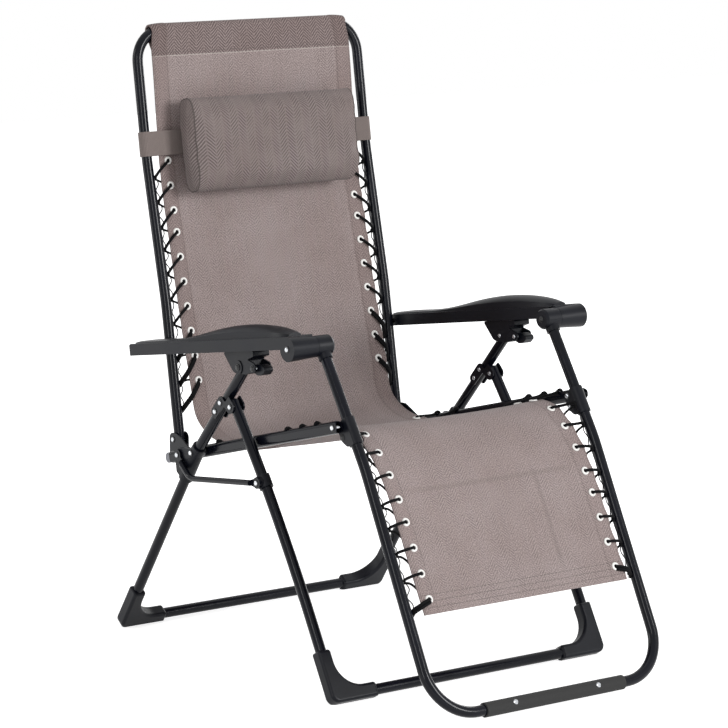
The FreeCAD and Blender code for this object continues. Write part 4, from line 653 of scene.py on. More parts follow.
@dataclass
class Sling:
    """The laced cloth in its two lengths, which meet in the middle of the seat."""

    half_width: float = 0.218
    top_half_width: float = 0.213
    thickness: float = 0.0018
    hem: float = 0.033
    join_y: float = 0.09
    wrap_radius: float = 0.0111
    sleeve_slack: float = 0.3
    tail: float = 0.040
    sag: float = 0.005
    eyelets: list[float] = field(default_factory=list)
    run: np.ndarray = field(default_factory=lambda: np.zeros(0))
    line: np.ndarray = field(default_factory=lambda: np.zeros((0, 2)))

    def prepare(self) -> None:
        """Find the cloth's side line, and where its eyelets lie along it."""
        self.line = smooth_line(CLOTH_LINE, 0.005)
        self.run = np.concatenate([[0.0], np.cumsum(np.linalg.norm(np.diff(self.line, axis=0), axis=1))])
        for node in ("back_eyelets", "seat_eyelets", "leg_eyelets"):
            centres = [rows.mean(axis=0) for rows in islands(bpy.data.objects[node])]
            self.eyelets += [self.nearest(c[1:]) for c in centres if c[0] < 0]

    def nearest(self, place: np.ndarray) -> float:
        """Distance along the cloth that is nearest to a side point."""
        return float(self.run[np.argmin(np.linalg.norm(self.line - place, axis=1))])

    def at(self, distance: float) -> tuple[np.ndarray, np.ndarray]:
        """Side point and forward normal at a distance along the cloth.

        Args:
            distance: metres along the cloth.

        Returns:
            The point and the normal, as y and z.
        """
        ways = np.gradient(self.line, axis=0)
        ways /= np.linalg.norm(ways, axis=1)[:, None]
        point = np.array([np.interp(distance, self.run, self.line[:, i]) for i in (0, 1)])
        way = np.array([np.interp(distance, self.run, ways[:, i]) for i in (0, 1)])
        way /= np.linalg.norm(way)
        return point, np.array([way[1], -way[0]])

    def shares(self) -> np.ndarray:
        """Columns across the cloth as shares of its half width, close together at the hems.

        Returns:
            Shares from -1 to 1.
        """
        w, hem = self.half_width, self.hem
        half = np.concatenate([np.linspace(0, w - hem - 0.004, 17), [w - hem - 0.001, w - hem + 0.001],
                               np.linspace(w - hem + 0.006, w - 0.004, 5), [w - 0.0012, w]]) / w
        return np.concatenate([-half[:0:-1], half])

    def build(self) -> None:
        """Lay both lengths along the side line, the first one from behind the top tube."""
        join = int(np.argmin(np.abs(self.line[:, 0] - self.join_y) + (self.line[:, 1] > 0.5)))
        self.length("sling_back", 0, join + 1, ["back_sling"], "back", (0, 0.240, 0.3745), (0, 0.318, 0.455))
        self.length("sling_seat", join, len(self.run), ["seat_sling", "leg_sling"], "footrest",
                    (0, -0.145, 0.453), (0, -0.186, 0.4485))

    def drop(self, x: np.ndarray) -> np.ndarray:
        """How far the top tube's bent corners lie below its middle."""
        past = np.clip(np.abs(x) - (BACK_TUBE_X - BACK_CORNER), 0, BACK_CORNER * 0.95)
        return BACK_CORNER - np.sqrt(BACK_CORNER ** 2 - past ** 2)

    def wrap(self, shares: np.ndarray) -> tuple[np.ndarray, np.ndarray, np.ndarray]:
        """Rows of the sleeve: up from its seam behind the cloth, and over the top tube.

        Args:
            shares: columns as shares of the half width.

        Returns:
            The sleeve's points and normals, row by row, and the metres of cloth up to each row.
        """
        x = shares * self.top_half_width
        centre = np.zeros((len(x), 3))
        centre[:, 0] = x
        centre[:, 1:] = BACK_TUBE[-1]
        centre -= self.drop(x)[:, None] * BACK_UP * self.sleeve_slack
        rows, normals = [], []
        low, front = self.at(self.tail + 0.004)
        for share in np.linspace(0, 1, 6)[:-1]:
            start = np.stack([x, np.full(len(x), low[0] - front[0] * 0.0022), np.full(len(x), low[1])], axis=1)
            angle = math.radians(192)
            radial = math.cos(angle) * BACK_FRONT + math.sin(angle) * BACK_UP
            rows.append(start * (1 - share) + (centre + radial * self.wrap_radius) * share)
            normals.append(np.tile(radial, (len(x), 1)))
        for degrees in np.linspace(192, 8, 15):
            angle = math.radians(degrees)
            radial = math.cos(angle) * BACK_FRONT + math.sin(angle) * BACK_UP
            rows.append(centre + radial * self.wrap_radius)
            normals.append(np.tile(radial, (len(x), 1)))
        rows, normals = np.array(rows), np.array(normals)
        middle = rows[:, len(x) // 2]
        run = np.concatenate([[0.0], np.cumsum(np.linalg.norm(np.diff(middle, axis=0), axis=1))])
        return rows, normals, run

    def length(self, name: str, first: int, last: int, nodes: list[str], far_body: str,
               start: tuple[float, float, float], end: tuple[float, float, float]) -> None:
        """Make one length of the cloth.

        Args:
            name: piece's name.
            first: its first sample along the side line.
            last: the sample after its last one.
            nodes: CAD nodes that it stands for.
            far_body: body that its far end follows.
            start: where it stops following the seat rails.
            end: where it follows the far body alone.
        """
        shares = self.shares()
        run = self.run[first:last]
        width = np.interp(run, [0, 0.03], [self.top_half_width, self.half_width])
        ripple = np.zeros(len(run))
        scallop = np.zeros(len(run))
        for place in self.eyelets:
            pull = np.exp(-((run - place) / 0.011) ** 2)
            ripple += pull
            scallop += pull * 0.0012
        width = width - 0.0012 + scallop
        rows = np.zeros((len(run), len(shares), 3))
        normals = np.zeros_like(rows)
        rows[:, :, 0] = shares[None, :] * width[:, None]
        edge = np.exp(-(1 - np.abs(shares)) * self.half_width / 0.03)
        for number, distance in enumerate(run):
            point, front = self.at(distance)
            droop = self.sag * (1 - shares ** 2) * min(1.0, distance / 0.12, (self.run[-1] - distance) / 0.1 + 0.3)
            lift = edge * (ripple[number] - 0.4) * 0.0013
            tube = self.drop(rows[number, :, 0]) * self.sleeve_slack * max(0.0, 1 - distance / 0.06)
            rows[number, :, 1:] = point + front * (lift - droop)[:, None]
            rows[number] -= tube[:, None] * BACK_UP
            normals[number, :, 1:] = front
        if far_body == "back":
            above, above_normals, above_run = self.wrap(shares)
            rows, normals = np.concatenate([above, rows]), np.concatenate([above_normals, normals])
            gap = float(np.linalg.norm(rows[len(above), len(shares) // 2] - above[-1, len(shares) // 2]))
            run = np.concatenate([above_run, above_run[-1] + gap + run])
        else:
            run = run + self.over()
        across = np.broadcast_to((shares * self.half_width + self.half_width)[None, :], rows.shape[:2])
        chart = np.stack([across, np.broadcast_to(run[:, None], rows.shape[:2])], axis=-1)
        double = 0.5 * self.thickness + 0.0005 * (np.abs(shares) * self.half_width > self.half_width - self.hem)
        maker = Maker()
        offset = normals * double[None, :, None]
        maker.grid(rows + offset, chart)
        maker.grid((rows - offset)[::-1], chart[::-1])
        for side in (0, -1):
            order = 1 if side else -1
            edge = np.stack([rows[:, side] - offset[:, side], rows[:, side] + offset[:, side]], axis=1)
            maker.grid(edge[::order], np.stack([chart[:, side]] * 2, axis=1)[::order])
            maker.grid(np.stack([rows[side] - offset[side], rows[side] + offset[side]])[::-1 if side else 1],
                       np.stack([chart[side]] * 2)[::-1 if side else 1])
        piece = maker.piece(name, Finishes.SLING)
        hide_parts(*nodes)
        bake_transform(piece, "seat_rails", far_body, start=start, end=end)
        LOG.info("%s: %.3f m of cloth from %.3f", name, run[-1] - run[0], run[0])

    def over(self) -> float:
        """Length of cloth in the sleeve, before the front of the back.

        Returns:
            Metres of cloth.
        """
        above, _, run = self.wrap(self.shares())
        point, _ = self.at(0.0)
        return float(run[-1] + np.linalg.norm(np.array([0.0, *point]) - above[-1, len(self.shares()) // 2]))


@dataclass
class Lacing:
    """Eyelets in the cloth's edges, and the elastic that ties them to the tubes and rails."""

    sling: Sling
    ring: float = 0.0075
    hole: float = 0.0034
    thin: float = 0.0026
    thick: float = 0.0028
    whip: float = 0.0010
    eyelet_x: float = 0.200

    def build(self) -> None:
        """Set eyelets and lacing on the back, the seat and the footrest."""
        for part, body in (("back", "back"), ("seat", "seat_rails"), ("leg", "footrest")):
            places = sorted(self.sling.nearest(rows.mean(axis=0)[1:]) for rows in
                            islands(bpy.data.objects[part + "_eyelets"]) if rows.mean(axis=0)[0] < 0)
            self.eyelets(part, body, places)
            maker = Maker()
            for side in (-1, 1):
                if part == "seat":
                    self.over_rail(maker, places, side)
                else:
                    self.down_tube(maker, places, side, part == "back")
            piece = maker.piece(part + "_lacing", Finishes.ELASTIC)
            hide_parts(part + "_laces")
            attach(piece, body)
            LOG.info("%s: %d eyelets a side", piece.name, len(places))

    def hole_at(self, distance: float, side: int, lift: float) -> np.ndarray:
        """Middle of an eyelet, lifted forward from the cloth."""
        point, front = self.sling.at(distance)
        return np.array([side * self.eyelet_x, *(point + front * lift)])

    def hem_at(self, distance: float, side: int, lift: float) -> np.ndarray:
        """Point just outside the cloth's edge, lifted forward."""
        point, front = self.sling.at(distance)
        return np.array([side * (self.sling.half_width + 0.002), *(point + front * lift)])

    def eyelets(self, part: str, body: str, places: list[float]) -> None:
        """Set a row of plastic eyelets down each edge.

        Args:
            part: back, seat or leg.
            body: body that they ride on.
            places: distances along the cloth.
        """
        maker = Maker()
        r, h = self.ring, self.hole
        profile = [(h, -0.0006), (h, 0.0012), (h + 0.0007, 0.0020), (h + 0.0017, 0.0023), (r - 0.0011, 0.0019),
                   (r - 0.0003, 0.0012), (r, 0.0)]
        behind = [(radius, -0.0002 - height * 0.8) for radius, height in reversed(profile[1:])]
        for distance in places:
            point, front = self.sling.at(distance)
            for side in (-1, 1):
                turn = Vector((0, *front)).to_track_quat("Z", "X").to_matrix().to_4x4()
                place = Matrix.Translation((side * self.eyelet_x, *(point + front * 0.0013))) @ turn
                maker.lathe(profile, place, 20)
                rear = Matrix.Translation((side * self.eyelet_x, *(point - front * 0.0013))) @ turn
                maker.lathe(behind, rear, 16)
                # dark discs filling each eyelet's hole, front and back, in the elastic's finish: partly the elastic
                # that runs through it, partly painted shade of the hole
                maker.lathe([(0.0, 0.0004), (h, 0.0004)], place, 12, tint=1)
                maker.lathe([(h, -0.0004), (0.0, -0.0004)], rear, 12, tint=1)
        piece = maker.piece(part + "_eyelet_rings", Finishes.ACETAL, Finishes.ELASTIC)
        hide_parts(part + "_eyelets")
        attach(piece, body)

    def down_tube(self, maker: Maker, places: list[float], side: int, is_back: bool) -> None:
        """Lace one edge to its side tube: out from each eyelet, hitched at the tube, and back behind the cloth.

        Args:
            maker: mesh that gets the cord.
            places: distances of the eyelets along the cloth.
            side: -1 for the sitter's right, 1 for the left.
            is_back: whether this is the back, where the strands run down to the tube.
        """
        tube = even(BACK_TUBE if is_back else self.sling_round(FOOT_TUBE), 0.002)
        tube_x = side * (BACK_TUBE_X if is_back else FOOT_TUBE_X)
        ways = np.gradient(tube, axis=0)
        hitches = []
        for number, distance in enumerate(places):
            low = number >= len(places) - (3 if is_back else 1)
            lead = (0.044 if low else 0.027) if is_back else (0.012 if low else 0.004)
            radius = self.thick if low else self.thin
            point, front = self.sling.at(distance)
            ahead = np.array([front[1], -front[0]])
            step = point + ahead * math.copysign(lead, -ahead[1])
            near = int(np.argmin(np.linalg.norm(tube - step, axis=1)))
            way = ways[near] / np.linalg.norm(ways[near])
            out = np.array([way[1], -way[0]])
            out = out if out @ front > 0 else -out
            down = way if way[1] < 0 else -way

            def on_tube(angle: float, slip: float) -> np.ndarray:
                """Point on the tube's skin, round from its inner side by way of its front.

                Args:
                    angle: radians round the tube.
                    slip: metres further along it.

                Returns:
                    The point.
                """
                skin = TUBE_RADIUS + radius
                level = tube[near] + down * slip + out * skin * math.sin(angle)
                return np.array([tube_x - side * skin * math.cos(angle), *level])

            line = [self.hole_at(distance, side, -0.002), self.hole_at(distance, side, 0.0045),
                    self.hem_at(distance + lead * 0.55, side, 0.0035 + radius),
                    on_tube(0.35, 0.0), on_tube(-0.2, 0.004)]
            maker.cord(self.drawn(line), radius)
            if low:
                beside = np.array([0.0, *(down * radius * 1.9)])
                maker.cord(self.drawn([knot + beside for knot in line]), radius)
            if number + 1 < len(places):
                onward = places[number + 1]
                edge = self.hem_at(min(distance + lead + 0.008, onward - 0.004), side, -0.0045)
                maker.cord(self.drawn([on_tube(-0.2, 0.004), edge, self.hole_at(onward, side, -0.005),
                                       self.hole_at(onward, side, -0.001)]), self.thin * 0.8)
            knot = on_tube(0.0, 0.003)
            bead = [knot + np.array([0, *(down * s)]) for s in np.linspace(-0.004, 0.004, 7)]
            maker.cord(np.array(bead), radius * 1.35, taper=lambda t: math.sin(math.pi * (0.08 + 0.84 * t)) ** 0.5)
            hitches.append(knot)
        for number, (upper, lower) in enumerate(zip(hitches, hitches[1:])):
            swing = np.array([-side * (0.0035 + 0.0015 * math.sin(number * 2.3)), -0.002, 0.0])
            line = [upper, upper * 0.72 + lower * 0.28 + swing, upper * 0.5 + lower * 0.5 - swing * 0.3,
                    upper * 0.25 + lower * 0.75 + swing * 0.8, lower]
            maker.cord(smooth_line(np.array(line), 0.004), self.whip, 6)

    def drawn(self, corners: list[np.ndarray]) -> np.ndarray:
        """Straight runs of a stretched cord, rounded off where it turns.

        Args:
            corners: points that the cord turns at.

        Returns:
            Points along the rounded line.
        """
        line = np.array(corners)
        for _ in range(3):
            cut = np.stack([line[:-1] * 0.78 + line[1:] * 0.22, line[:-1] * 0.22 + line[1:] * 0.78], axis=1)
            line = np.concatenate([line[:1], cut.reshape(-1, 3)[1:-1], line[-1:]])
        return even(line, 0.0025)

    def sling_round(self, corners: np.ndarray) -> np.ndarray:
        """The footrest tube's line with its gentle bend.

        Args:
            corners: corners of the line.

        Returns:
            Points along the bent line.
        """
        before, bend, after = corners
        arm_a, arm_b = (before - bend) / np.linalg.norm(before - bend), (after - bend) / np.linalg.norm(after - bend)
        reach = 0.03
        steps = np.linspace(0, 1, 9)[:, None]
        a, b = bend + arm_a * reach, bend + arm_b * reach
        curve = (1 - steps) ** 2 * a + 2 * steps * (1 - steps) * bend + steps ** 2 * b
        return np.concatenate([[before], curve, [after]])

    def over_rail(self, maker: Maker, places: list[float], side: int) -> None:
        """Hook the seat's edge over the top of its rail.

        Args:
            maker: mesh that gets the cord.
            places: distances of the eyelets along the cloth.
            side: -1 for the sitter's right, 1 for the left.
        """
        way = (RAIL[1] - RAIL[0]) / np.linalg.norm(RAIL[1] - RAIL[0])
        up = np.array([way[1], -way[0]]) * (1 if way[0] < 0 else -1)
        up = up if up[1] > 0 else -up
        wide, tall, r = 0.0075, 0.011, self.thin * 1.1
        for distance in places:
            point, _ = self.sling.at(distance)
            reach = (point - RAIL[0]) @ way
            middle = RAIL[0] + way * reach
            if abs(middle[0] - 0.198) < 0.016:
                middle = middle + way * (0.016 if middle[0] < 0.198 else -0.016)

            def skin(x: float, y: float) -> np.ndarray:
                """Point beside the rail, out from its middle and above it."""
                return np.array([side * (RAIL_X + x), *(middle + up * y)])

            line = [self.hole_at(distance, side, -0.002), self.hole_at(distance, side, 0.0045),
                    skin(-wide - r, tall * 0.75), skin(-wide * 0.5, tall + r), skin(wide * 0.2, tall + r),
                    skin(wide * 0.45, tall - 0.003)]
            maker.cord(self.drawn(line), r)


@dataclass
class Pillow:
    """Head pillow on its elastic straps."""

    half_width: float = 0.186
    height: float = 0.174
    thickness: float = 0.062
    drop: float = 0.2084
    clear: float = 0.0130
    panel_inset: float = 0.010
    cap: float = 0.024
    strap_width: float = 0.044
    strap_thickness: float = 0.0016
    voxel: float = 0.005
    pressure: float = 3.0
    strap_rise: float = 0.005

    def place(self) -> Matrix:
        """Frame of the pillow: x across, y up the back, z towards the sitter's head.

        Returns:
            Matrix from that frame to the chair.
        """
        centre = np.array([0.0, *BACK_TUBE[-1]]) - BACK_UP * self.drop
        frame = Matrix((Vector((1, 0, 0)), Vector(BACK_UP), Vector(BACK_FRONT))).transposed().to_4x4()
        frame.translation = Vector(centre)
        return frame

    def section(self, angle: float) -> tuple[float, float]:
        """Up and forward of the unfilled pillow's outline, round from the front.

        Args:
            angle: radians round the pillow's length.

        Returns:
            Distances up the back and forward of the tubes' plane.
        """
        power = 2.0 / 3.4
        reach = self.height / 2 - (0.005 if math.sin(angle) > 0 else -0.003)
        up = math.copysign(abs(math.sin(angle)) ** power, math.sin(angle)) * reach
        deep = math.copysign(abs(math.cos(angle)) ** power, math.cos(angle)) * (self.thickness / 2 - 0.005)
        return up, self.clear + self.thickness / 2 + deep

    def build(self) -> None:
        """Sew, fill and strap the pillow."""
        frame = self.place()
        body = self.shell(frame)
        filled = self.fill(body, frame)
        self.chart(filled, frame)
        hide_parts("pillow")
        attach(filled, "headrest")
        self.piping(filled, frame)
        self.straps(frame)
        LOG.info("pillow: %d points", len(filled.data.vertices))

    def shell(self, frame: Matrix) -> bpy.types.Object:
        """Unfilled pillow: a tube of cloth closed by a flat panel at each end.

        Args:
            frame: the pillow's frame.

        Returns:
            The unfilled pillow.
        """
        maker = Maker()
        inset = 0.004
        xs = np.linspace(-self.half_width + inset, self.half_width - inset, 60)
        angles = np.linspace(0, math.tau, 64, endpoint=False)
        outline = [self.section(a) for a in angles]
        rows = [[frame @ Vector((x, up, deep)) for up, deep in outline] for x in xs]
        maker.grid(np.array(rows)[::-1], closed=True)
        middle = self.clear + self.thickness / 2
        for x, flip in ((xs[0], 1), (xs[-1], -1)):
            rings = [[frame @ Vector((x, up * s, middle + (deep - middle) * s)) for up, deep in outline]
                     for s in (1.0, 0.66, 0.33, 0.02)]
            maker.grid(np.array(rings)[::flip], closed=True)
        return maker.piece("head_pillow", Finishes.PILLOW)

    def fill(self, body: bpy.types.Object, frame: Matrix) -> bpy.types.Object:
        """Blow the cloth up like a filled pillow, and keep it off the sling and inside its room.

        Args:
            body: unfilled pillow.
            frame: the pillow's frame.

        Returns:
            The filled pillow, smooth and with its seams drawn in.
        """
        remesh = body.modifiers.new("even", "REMESH")
        remesh.mode, remesh.voxel_size = "VOXEL", self.voxel
        settle(body)
        start = self.points(body)
        cloth = body.modifiers.new("fill", "CLOTH")
        cloth.settings.use_pressure = True
        cloth.settings.uniform_pressure_force = self.pressure
        cloth.settings.effector_weights.gravity = 0.0
        cloth.settings.quality = 5
        for number in range(1, 21):
            bpy.context.scene.frame_set(number)
        settle(body)
        bpy.context.scene.frame_set(1)
        swelled = self.points(body)
        moved = swelled - start
        far = np.linalg.norm(moved, axis=1)
        moved *= np.minimum(1.0, self.cap / np.maximum(far, 1e-9))[:, None]
        back = np.array(frame.inverted())
        local = (start + moved) @ back[:3, :3].T + back[:3, 3]
        unfilled = start @ back[:3, :3].T + back[:3, 3]
        kept = np.maximum(np.abs(local[:, 1]), np.abs(unfilled[:, 1]) - 0.002)
        local[:, 1] = np.sign(unfilled[:, 1]) * np.minimum(kept, self.height / 2 + 0.004)
        local = self.press(local)
        turn = np.array(frame)
        self.points(body, local @ turn[:3, :3].T + turn[:3, 3])
        smooth = body.modifiers.new("ease", "SMOOTH")
        smooth.factor, smooth.iterations = 0.5, 3
        finer = body.modifiers.new("finer", "SUBSURF")
        finer.levels = finer.render_levels = 1
        settle(body)
        body.data.shade_smooth()
        body.data.materials.clear()
        body.data.materials.append(Finishes.PILLOW.value.material())
        return body

    def press(self, local: np.ndarray) -> np.ndarray:
        """Hold the filled shape in its room, draw its seams in, and dent it where a head has lain.

        Args:
            local: points in the pillow's frame.

        Returns:
            The same points, moved.
        """
        x, up, deep = local[:, 0], local[:, 1], local[:, 2]
        low = self.clear + 0.0005
        deep = low + np.maximum(deep - low, 0.0) + np.minimum(deep - low, 0.0) * 0.02
        top = self.clear + self.thickness + 0.004
        deep = soft_limit(deep, top, 0.006)
        x = np.sign(x) * soft_limit(np.abs(x), self.half_width + 0.002, 0.008)
        low_corner = np.clip((-up - 0.035) / 0.05, 0, 1) ** 2 * np.clip((x - 0.12) / 0.06, 0, 1)
        x = x * (1 - 0.07 * low_corner)
        dent = np.exp(-((x / 0.10) ** 2) - ((up - 0.005) / 0.05) ** 2) * 0.004
        deep = deep - dent * (deep > self.clear + self.thickness * 0.5)
        creases = 0.0009 * np.sin(x * 61 + up * 35) * np.exp(-((up + 0.035) / 0.03) ** 2)
        deep = deep + creases * (deep > self.clear + self.thickness * 0.5)
        return np.stack([x, up, deep], axis=1)

    def points(self, piece: bpy.types.Object, new: np.ndarray | None = None) -> np.ndarray:
        """Read, or write, a piece's points as rows.

        Args:
            piece: object that is read or written.
            new: points to write, or None to read.

        Returns:
            The piece's points.
        """
        count = len(piece.data.vertices)
        if new is None:
            flat = np.empty(count * 3)
            piece.data.vertices.foreach_get("co", flat)
            return flat.reshape(-1, 3)
        piece.data.vertices.foreach_set("co", new.ravel())
        piece.data.update()
        return new

    def chart(self, body: bpy.types.Object, frame: Matrix) -> None:
        """Chart the weave: round the pillow's length, and flat over each end panel.

        Args:
            body: the filled pillow.
            frame: the pillow's frame.
        """
        back = np.array(frame.inverted())
        local = self.points(body) @ back[:3, :3].T + back[:3, 3]
        mesh = body.data
        layer = mesh.uv_layers.get("cloth") or mesh.uv_layers.new(name="cloth")
        corners = np.empty(len(mesh.loops), int)
        mesh.loops.foreach_get("vertex_index", corners)
        middle = self.clear + self.thickness / 2
        x, up, deep = local[corners, 0], local[corners, 1], local[corners, 2] - middle
        deep = np.maximum(deep, 0.0)
        round_it = up + np.sign(up) * np.maximum(0.0, self.thickness / 2 - deep) * (np.abs(up) > 0.05) * 0.6
        totals = np.empty(len(mesh.loops), int)
        for polygon in mesh.polygons:
            span = slice(polygon.loop_start, polygon.loop_start + polygon.loop_total)
            totals[span] = abs(polygon.center[0]) > self.half_width - self.panel_inset
        flat = np.stack([np.where(totals == 1, local[corners, 2], x + 1.0),
                         np.where(totals == 1, up, round_it + 1.0)], axis=1)
        layer.data.foreach_set("uv", flat.ravel())

    def piping(self, body: bpy.types.Object, frame: Matrix) -> None:
        """Run piping round both edges of each end panel, on the filled cloth.

        Args:
            body: the filled pillow.
            frame: the pillow's frame.
        """
        tree = BVHTree.FromPolygons([v.co.copy() for v in body.data.vertices],
                                    [tuple(p.vertices) for p in body.data.polygons])
        maker = Maker()
        middle = self.clear + self.thickness / 2
        for side in (-1, 1):
            line = []
            for angle in np.linspace(0, math.tau, 97):
                x = side * (self.half_width - self.panel_inset)
                up, deep = math.sin(angle) * 0.12, middle + math.cos(angle) * 0.12
                origin = frame @ Vector((x, up, deep))
                hit = tree.ray_cast(origin, (frame @ Vector((x, up * 0.45, middle)) - origin).normalized())[0]
                if hit is not None:
                    line.append(hit)
            # the piping's dark finish is partly its own tone and partly painted shadow along the seam
            maker.cord(even(np.array(line), 0.004), 0.0013, 8)
        piece = maker.piece("pillow_piping", Finishes.PIPING)
        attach(piece, "headrest")

    def straps(self, frame: Matrix) -> None:
        """Elastic tape from behind the pillow round each back tube.

        Args:
            frame: the pillow's frame.
        """
        maker = Maker()
        skin = TUBE_RADIUS + 0.0006
        thin = self.strap_thickness
        for side in (-1, 1):
            inner_x = BACK_TUBE_X - self.half_width + 0.045
            path = [(-inner_x, self.clear - 0.0022), (-0.0335, self.clear - 0.0018)]
            path += [(skin * math.cos(a), skin * math.sin(a))
                     for a in np.linspace(math.pi / 2 + 0.12, -math.pi / 2 - 0.1, 19)]
            path += [(-0.0225, -skin * 0.55), (-0.0240, 0.0)]
            line = np.array(path)
            ways = np.gradient(line, axis=0)
            ways /= np.linalg.norm(ways, axis=1)[:, None]
            outward = np.stack([-ways[:, 1], ways[:, 0]], axis=1)
            for number, offset in enumerate((0.0, thin)):
                shifted = line + outward * offset
                rows = []
                for share in np.linspace(-1, 1, 7):
                    level = self.strap_rise + share * self.strap_width / 2
                    rows.append([frame @ Vector((side * (BACK_TUBE_X + across), level, deep))
                                 for across, deep in shifted])
                grid = np.array(rows).transpose(1, 0, 2)
                run = np.concatenate([[0.0], np.cumsum(np.linalg.norm(np.diff(line, axis=0), axis=1))])
                widths = np.linspace(0, self.strap_width, 7)
                chart = np.stack(np.broadcast_arrays(widths[None, :], run[:, None]), axis=-1)
                flip = (number == 1) == (side == 1)
                maker.grid(grid[::-1] if flip else grid, chart[::-1] if flip else chart)
            inner, outer = line, line + outward * thin
            for level in (self.strap_rise - self.strap_width / 2, self.strap_rise + self.strap_width / 2):
                rim = [[frame @ Vector((side * (BACK_TUBE_X + a[0]), level, a[1])),
                        frame @ Vector((side * (BACK_TUBE_X + b[0]), level, b[1]))] for a, b in zip(inner, outer)]
                maker.grid(np.array(rim))
        piece = maker.piece("pillow_tapes", Finishes.STRAP)
        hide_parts("pillow_straps")
        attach(piece, "headrest")


@dataclass
class Rivets:
    """Bright domed rivets and bolts on dark washers, wherever the frame has one."""

    washer: float = 0.0060
    dome: float = 0.0042
    shank: float = 0.0030
    tail: float = 0.0038
    black_outside: tuple[str, ...] = ("lock_pivot_rivets", "lock_lever_pins", "footrest_tie_rivets")
    black_inside: tuple[str, ...] = ("armrest_front_bolts",)
    peened: tuple[str, ...] = ("leg_bracket_rivets", "leg_hinge_rivets", "lock_pivot_rivets", "lock_lever_pins",
                               "footrest_pivot_rivets", "footrest_tie_rivets")

    def build(self, record: dict) -> None:
        """Turn a rivet for each plain one of the frame.

        Args:
            record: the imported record.
        """
        for part in record["subparts"]:
            if part["material_slot"] != "zinc" or part["node"] == "foot_pad_screws":
                continue
            maker = Maker()
            for rows in islands(bpy.data.objects[part["node"]]):
                self.turn(maker, rows, part["node"])
            piece = maker.piece(part["node"] + "_turned", Finishes.ZINC, Finishes.OXIDE)
            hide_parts(part["node"])
            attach(piece, body_of(bpy.data.objects[part["node"]])[0])
            LOG.info("%s: %d", piece.name, len(islands(bpy.data.objects[part["node"]])))

    def turn(self, maker: Maker, rows: np.ndarray, node: str) -> None:
        """Turn one rivet in place of a plain one.

        Args:
            maker: mesh that gets it.
            rows: points of the plain one.
            node: its node, which says which of its ends are blackened or peened.
        """
        low, high = rows.min(axis=0), rows.max(axis=0)
        middle = (low + high) / 2
        radial = np.hypot(rows[:, 1] - middle[1], rows[:, 2] - middle[2])
        for face, sign in ((low[0], -1), (high[0], 1)):
            outer = sign * middle[0] > 0
            black = 1 if node in (self.black_outside if outer else self.black_inside) else 0
            spread = radial[np.abs(rows[:, 0] - face) < 0.004].max(initial=0.0)
            turn = Matrix.Rotation(math.pi / 2 * sign, 4, "Y")
            if spread > 0.0045:
                w, d = self.washer, self.dome
                base = Matrix.Translation((face - sign * 0.0032, middle[1], middle[2])) @ turn
                maker.lathe([(w, 0.0), (w, 0.0007), (w - 0.0005, 0.0011), (d, 0.0011), (0.0005, 0.0011)], base, 24, 1)
                dome = [(d, 0.0010), (d * 0.98, 0.0017), (d * 0.86, 0.0024), (d * 0.62, 0.0029), (d * 0.3, 0.0031),
                        (0.0, 0.0030)]
                maker.lathe(dome, base, 20, black)
            elif node in self.peened and not outer:
                t = self.tail
                base = Matrix.Translation((face - sign * 0.0004, middle[1], middle[2])) @ turn
                maker.lathe([(t, 0.0), (t, 0.0006), (t * 0.8, 0.0012), (t * 0.4, 0.0015), (0.0, 0.0015)], base, 18)
        length = high[0] - low[0] - 0.004
        base = Matrix.Translation((low[0] + 0.002, middle[1], middle[2])) @ Matrix.Rotation(math.pi / 2, 4, "Y")
        maker.lathe([(0.0, 0.0), (self.shank, 0.0), (self.shank, length), (0.0, length)], base, 14)


@dataclass
class HardParts:
    """Every rigid node that the frame brings, each in its own finish."""

    def build(self, nodes: dict[str, bpy.types.Object], record: dict) -> None:
        """Assign finishes by slot.

        Args:
            nodes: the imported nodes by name.
            record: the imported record.
        """
        for part in record["subparts"]:
            node = nodes[part["node"]]
            finish = SLOT_FINISHES[part["material_slot"]].value
            node.data.materials.clear()
            node.data.materials.append(finish.material())
            LOG.info("%s: %s", node.name, finish.name)


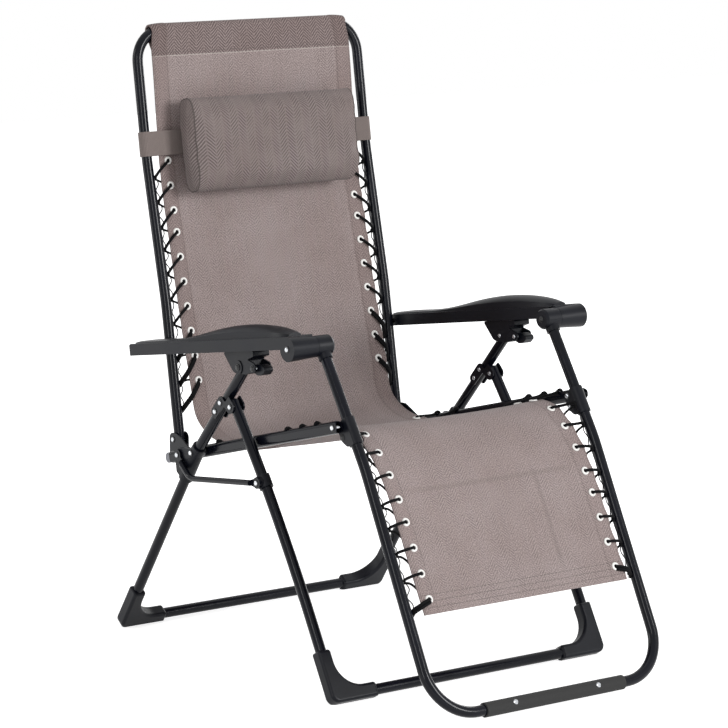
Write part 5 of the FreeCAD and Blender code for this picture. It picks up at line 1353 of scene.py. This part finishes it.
@dataclass
class Studio:
    """White cove, soft boxes and the camera."""

    target: tuple[float, float, float] = (-0.0028, 0.0841, 0.5092)
    azimuth: float = math.radians(-35.90)
    elevation: float = math.radians(9.655)
    roll: float = math.radians(-0.143)
    distance: float = 5.8514
    lens_mm: float = 163.27
    # name, place, width and height, watts: the key hangs far off, so that footrest and back get as much light
    boxes: tuple[tuple[str, tuple[float, float, float], tuple[float, float], float], ...] = (
        ("key", (2.7, -6.4, 2.6), (2.0, 2.7), 345.0),
        ("fill", (-3.4, -2.2, 1.7), (0.7, 2.4), 40.0),
        ("top", (0.2, 0.4, 3.6), (2.0, 2.0), 5.0),
        ("rim_near", (-3.0, 2.4, 1.6), (0.35, 2.6), 26.0),
        ("rim_far", (3.4, 1.6, 1.6), (0.35, 2.6), 26.0),
    )

    def build(self) -> None:
        """Set up everything round the recliner."""
        self.camera()
        self.floor()
        self.world()
        for name, place, size, power in self.boxes:
            self.lamp(name, place, size, power)

    def camera(self) -> None:
        """Long lens from the sitter's right, a little above the seat."""
        sin_a, cos_a = math.sin(self.azimuth), math.cos(self.azimuth)
        back = Vector((sin_a * math.cos(self.elevation), -cos_a * math.cos(self.elevation), math.sin(self.elevation)))
        right = Vector((cos_a, sin_a, 0.0))
        up = back.cross(right)
        side = right * math.cos(self.roll) + up * math.sin(self.roll)
        top = up * math.cos(self.roll) - right * math.sin(self.roll)
        data = bpy.data.cameras.new("camera")
        data.lens, data.sensor_width = self.lens_mm, 36.0
        data.clip_end = 100.0
        camera = bpy.data.objects.new("camera", data)
        place = Matrix((side, top, back)).transposed().to_4x4()
        place.translation = Vector(self.target) + back * self.distance
        camera.matrix_world = place
        bpy.context.scene.collection.objects.link(camera)
        bpy.context.scene.camera = camera

    def floor(self) -> None:
        """Pale floor that keeps the shadow near the chair and is white to the camera beyond it."""
        mesh = bpy.data.meshes.new("floor")
        mesh.from_pydata([(-9, -9, 0), (9, -9, 0), (9, 9, 0), (-9, 9, 0)], [], [(0, 1, 2, 3)])
        floor = bpy.data.objects.new("floor", mesh)
        bpy.context.scene.collection.objects.link(floor)
        made = bpy.data.materials.new("pale_floor")
        made.use_nodes = True
        tree = made.node_tree
        tree.nodes.clear()
        rays = add_node(tree, "LightPath").node
        seen = add_node(tree, "Math", rays.outputs["Is Camera Ray"], rays.outputs["Is Glossy Ray"],
                        operation="MAXIMUM")
        place = add_node(tree, "TexCoord", take="Object")
        away = add_node(tree, "VectorMath", place, take="Value", operation="LENGTH")
        level = add_node(tree, "MapRange", away, 0.55, 1.1, 0.72, 1.0)
        plain = add_node(tree, "BsdfDiffuse", (0.85, 0.85, 0.85, 1))
        glow = add_node(tree, "Emission", None, add_node(tree, "Math", seen, level, operation="MULTIPLY"))
        add_node(tree, "OutputMaterial", add_node(tree, "AddShader", plain, glow))
        mesh.materials.append(made)

    def world(self) -> None:
        """Plain white surround to the camera and to gloss, softer as a light."""
        world = bpy.data.worlds.new("surround")
        bpy.context.scene.world = world
        world.use_nodes = True
        tree = world.node_tree
        tree.nodes.clear()
        rays = add_node(tree, "LightPath").node
        first = add_node(tree, "Math", rays.outputs["Is Camera Ray"], rays.outputs["Is Transmission Ray"],
                         operation="MAXIMUM")
        white = add_node(tree, "Math", first, rays.outputs["Is Glossy Ray"], operation="MAXIMUM")
        strength = add_node(tree, "MapRange", white, 0.0, 1.0, 0.42, 1.0)
        light = add_node(tree, "Background", (1, 1, 1, 1), strength)
        add_node(tree, "OutputWorld", light)

    def lamp(self, name: str, place: tuple[float, float, float], size: tuple[float, float], power: float) -> None:
        """Add a soft box that faces the seat.

        Args:
            name: lamp's name.
            place: where it hangs.
            size: width and height of the box.
            power: watts.
        """
        data = bpy.data.lights.new(name, "AREA")
        data.shape = "RECTANGLE"
        data.size, data.size_y, data.energy = *size, power
        lamp = bpy.data.objects.new(name, data)
        lamp.location = place
        lamp.rotation_euler = (Vector(self.target) - Vector(place)).to_track_quat("-Z", "Y").to_euler()
        bpy.context.scene.collection.objects.link(lamp)


def main() -> None:
    """Load the frame, dress it, and light it."""
    logging.basicConfig(level=logging.INFO)
    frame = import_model()
    bpy.context.scene.view_settings.view_transform = "Standard"
    Studio().build()
    HardParts().build(frame["nodes"], frame["record"])
    sling = Sling()
    sling.prepare()
    sling.build()
    Lacing(sling).build()
    Pillow().build()
    Rivets().build(frame["record"])


if __name__ == "__main__":
    main()
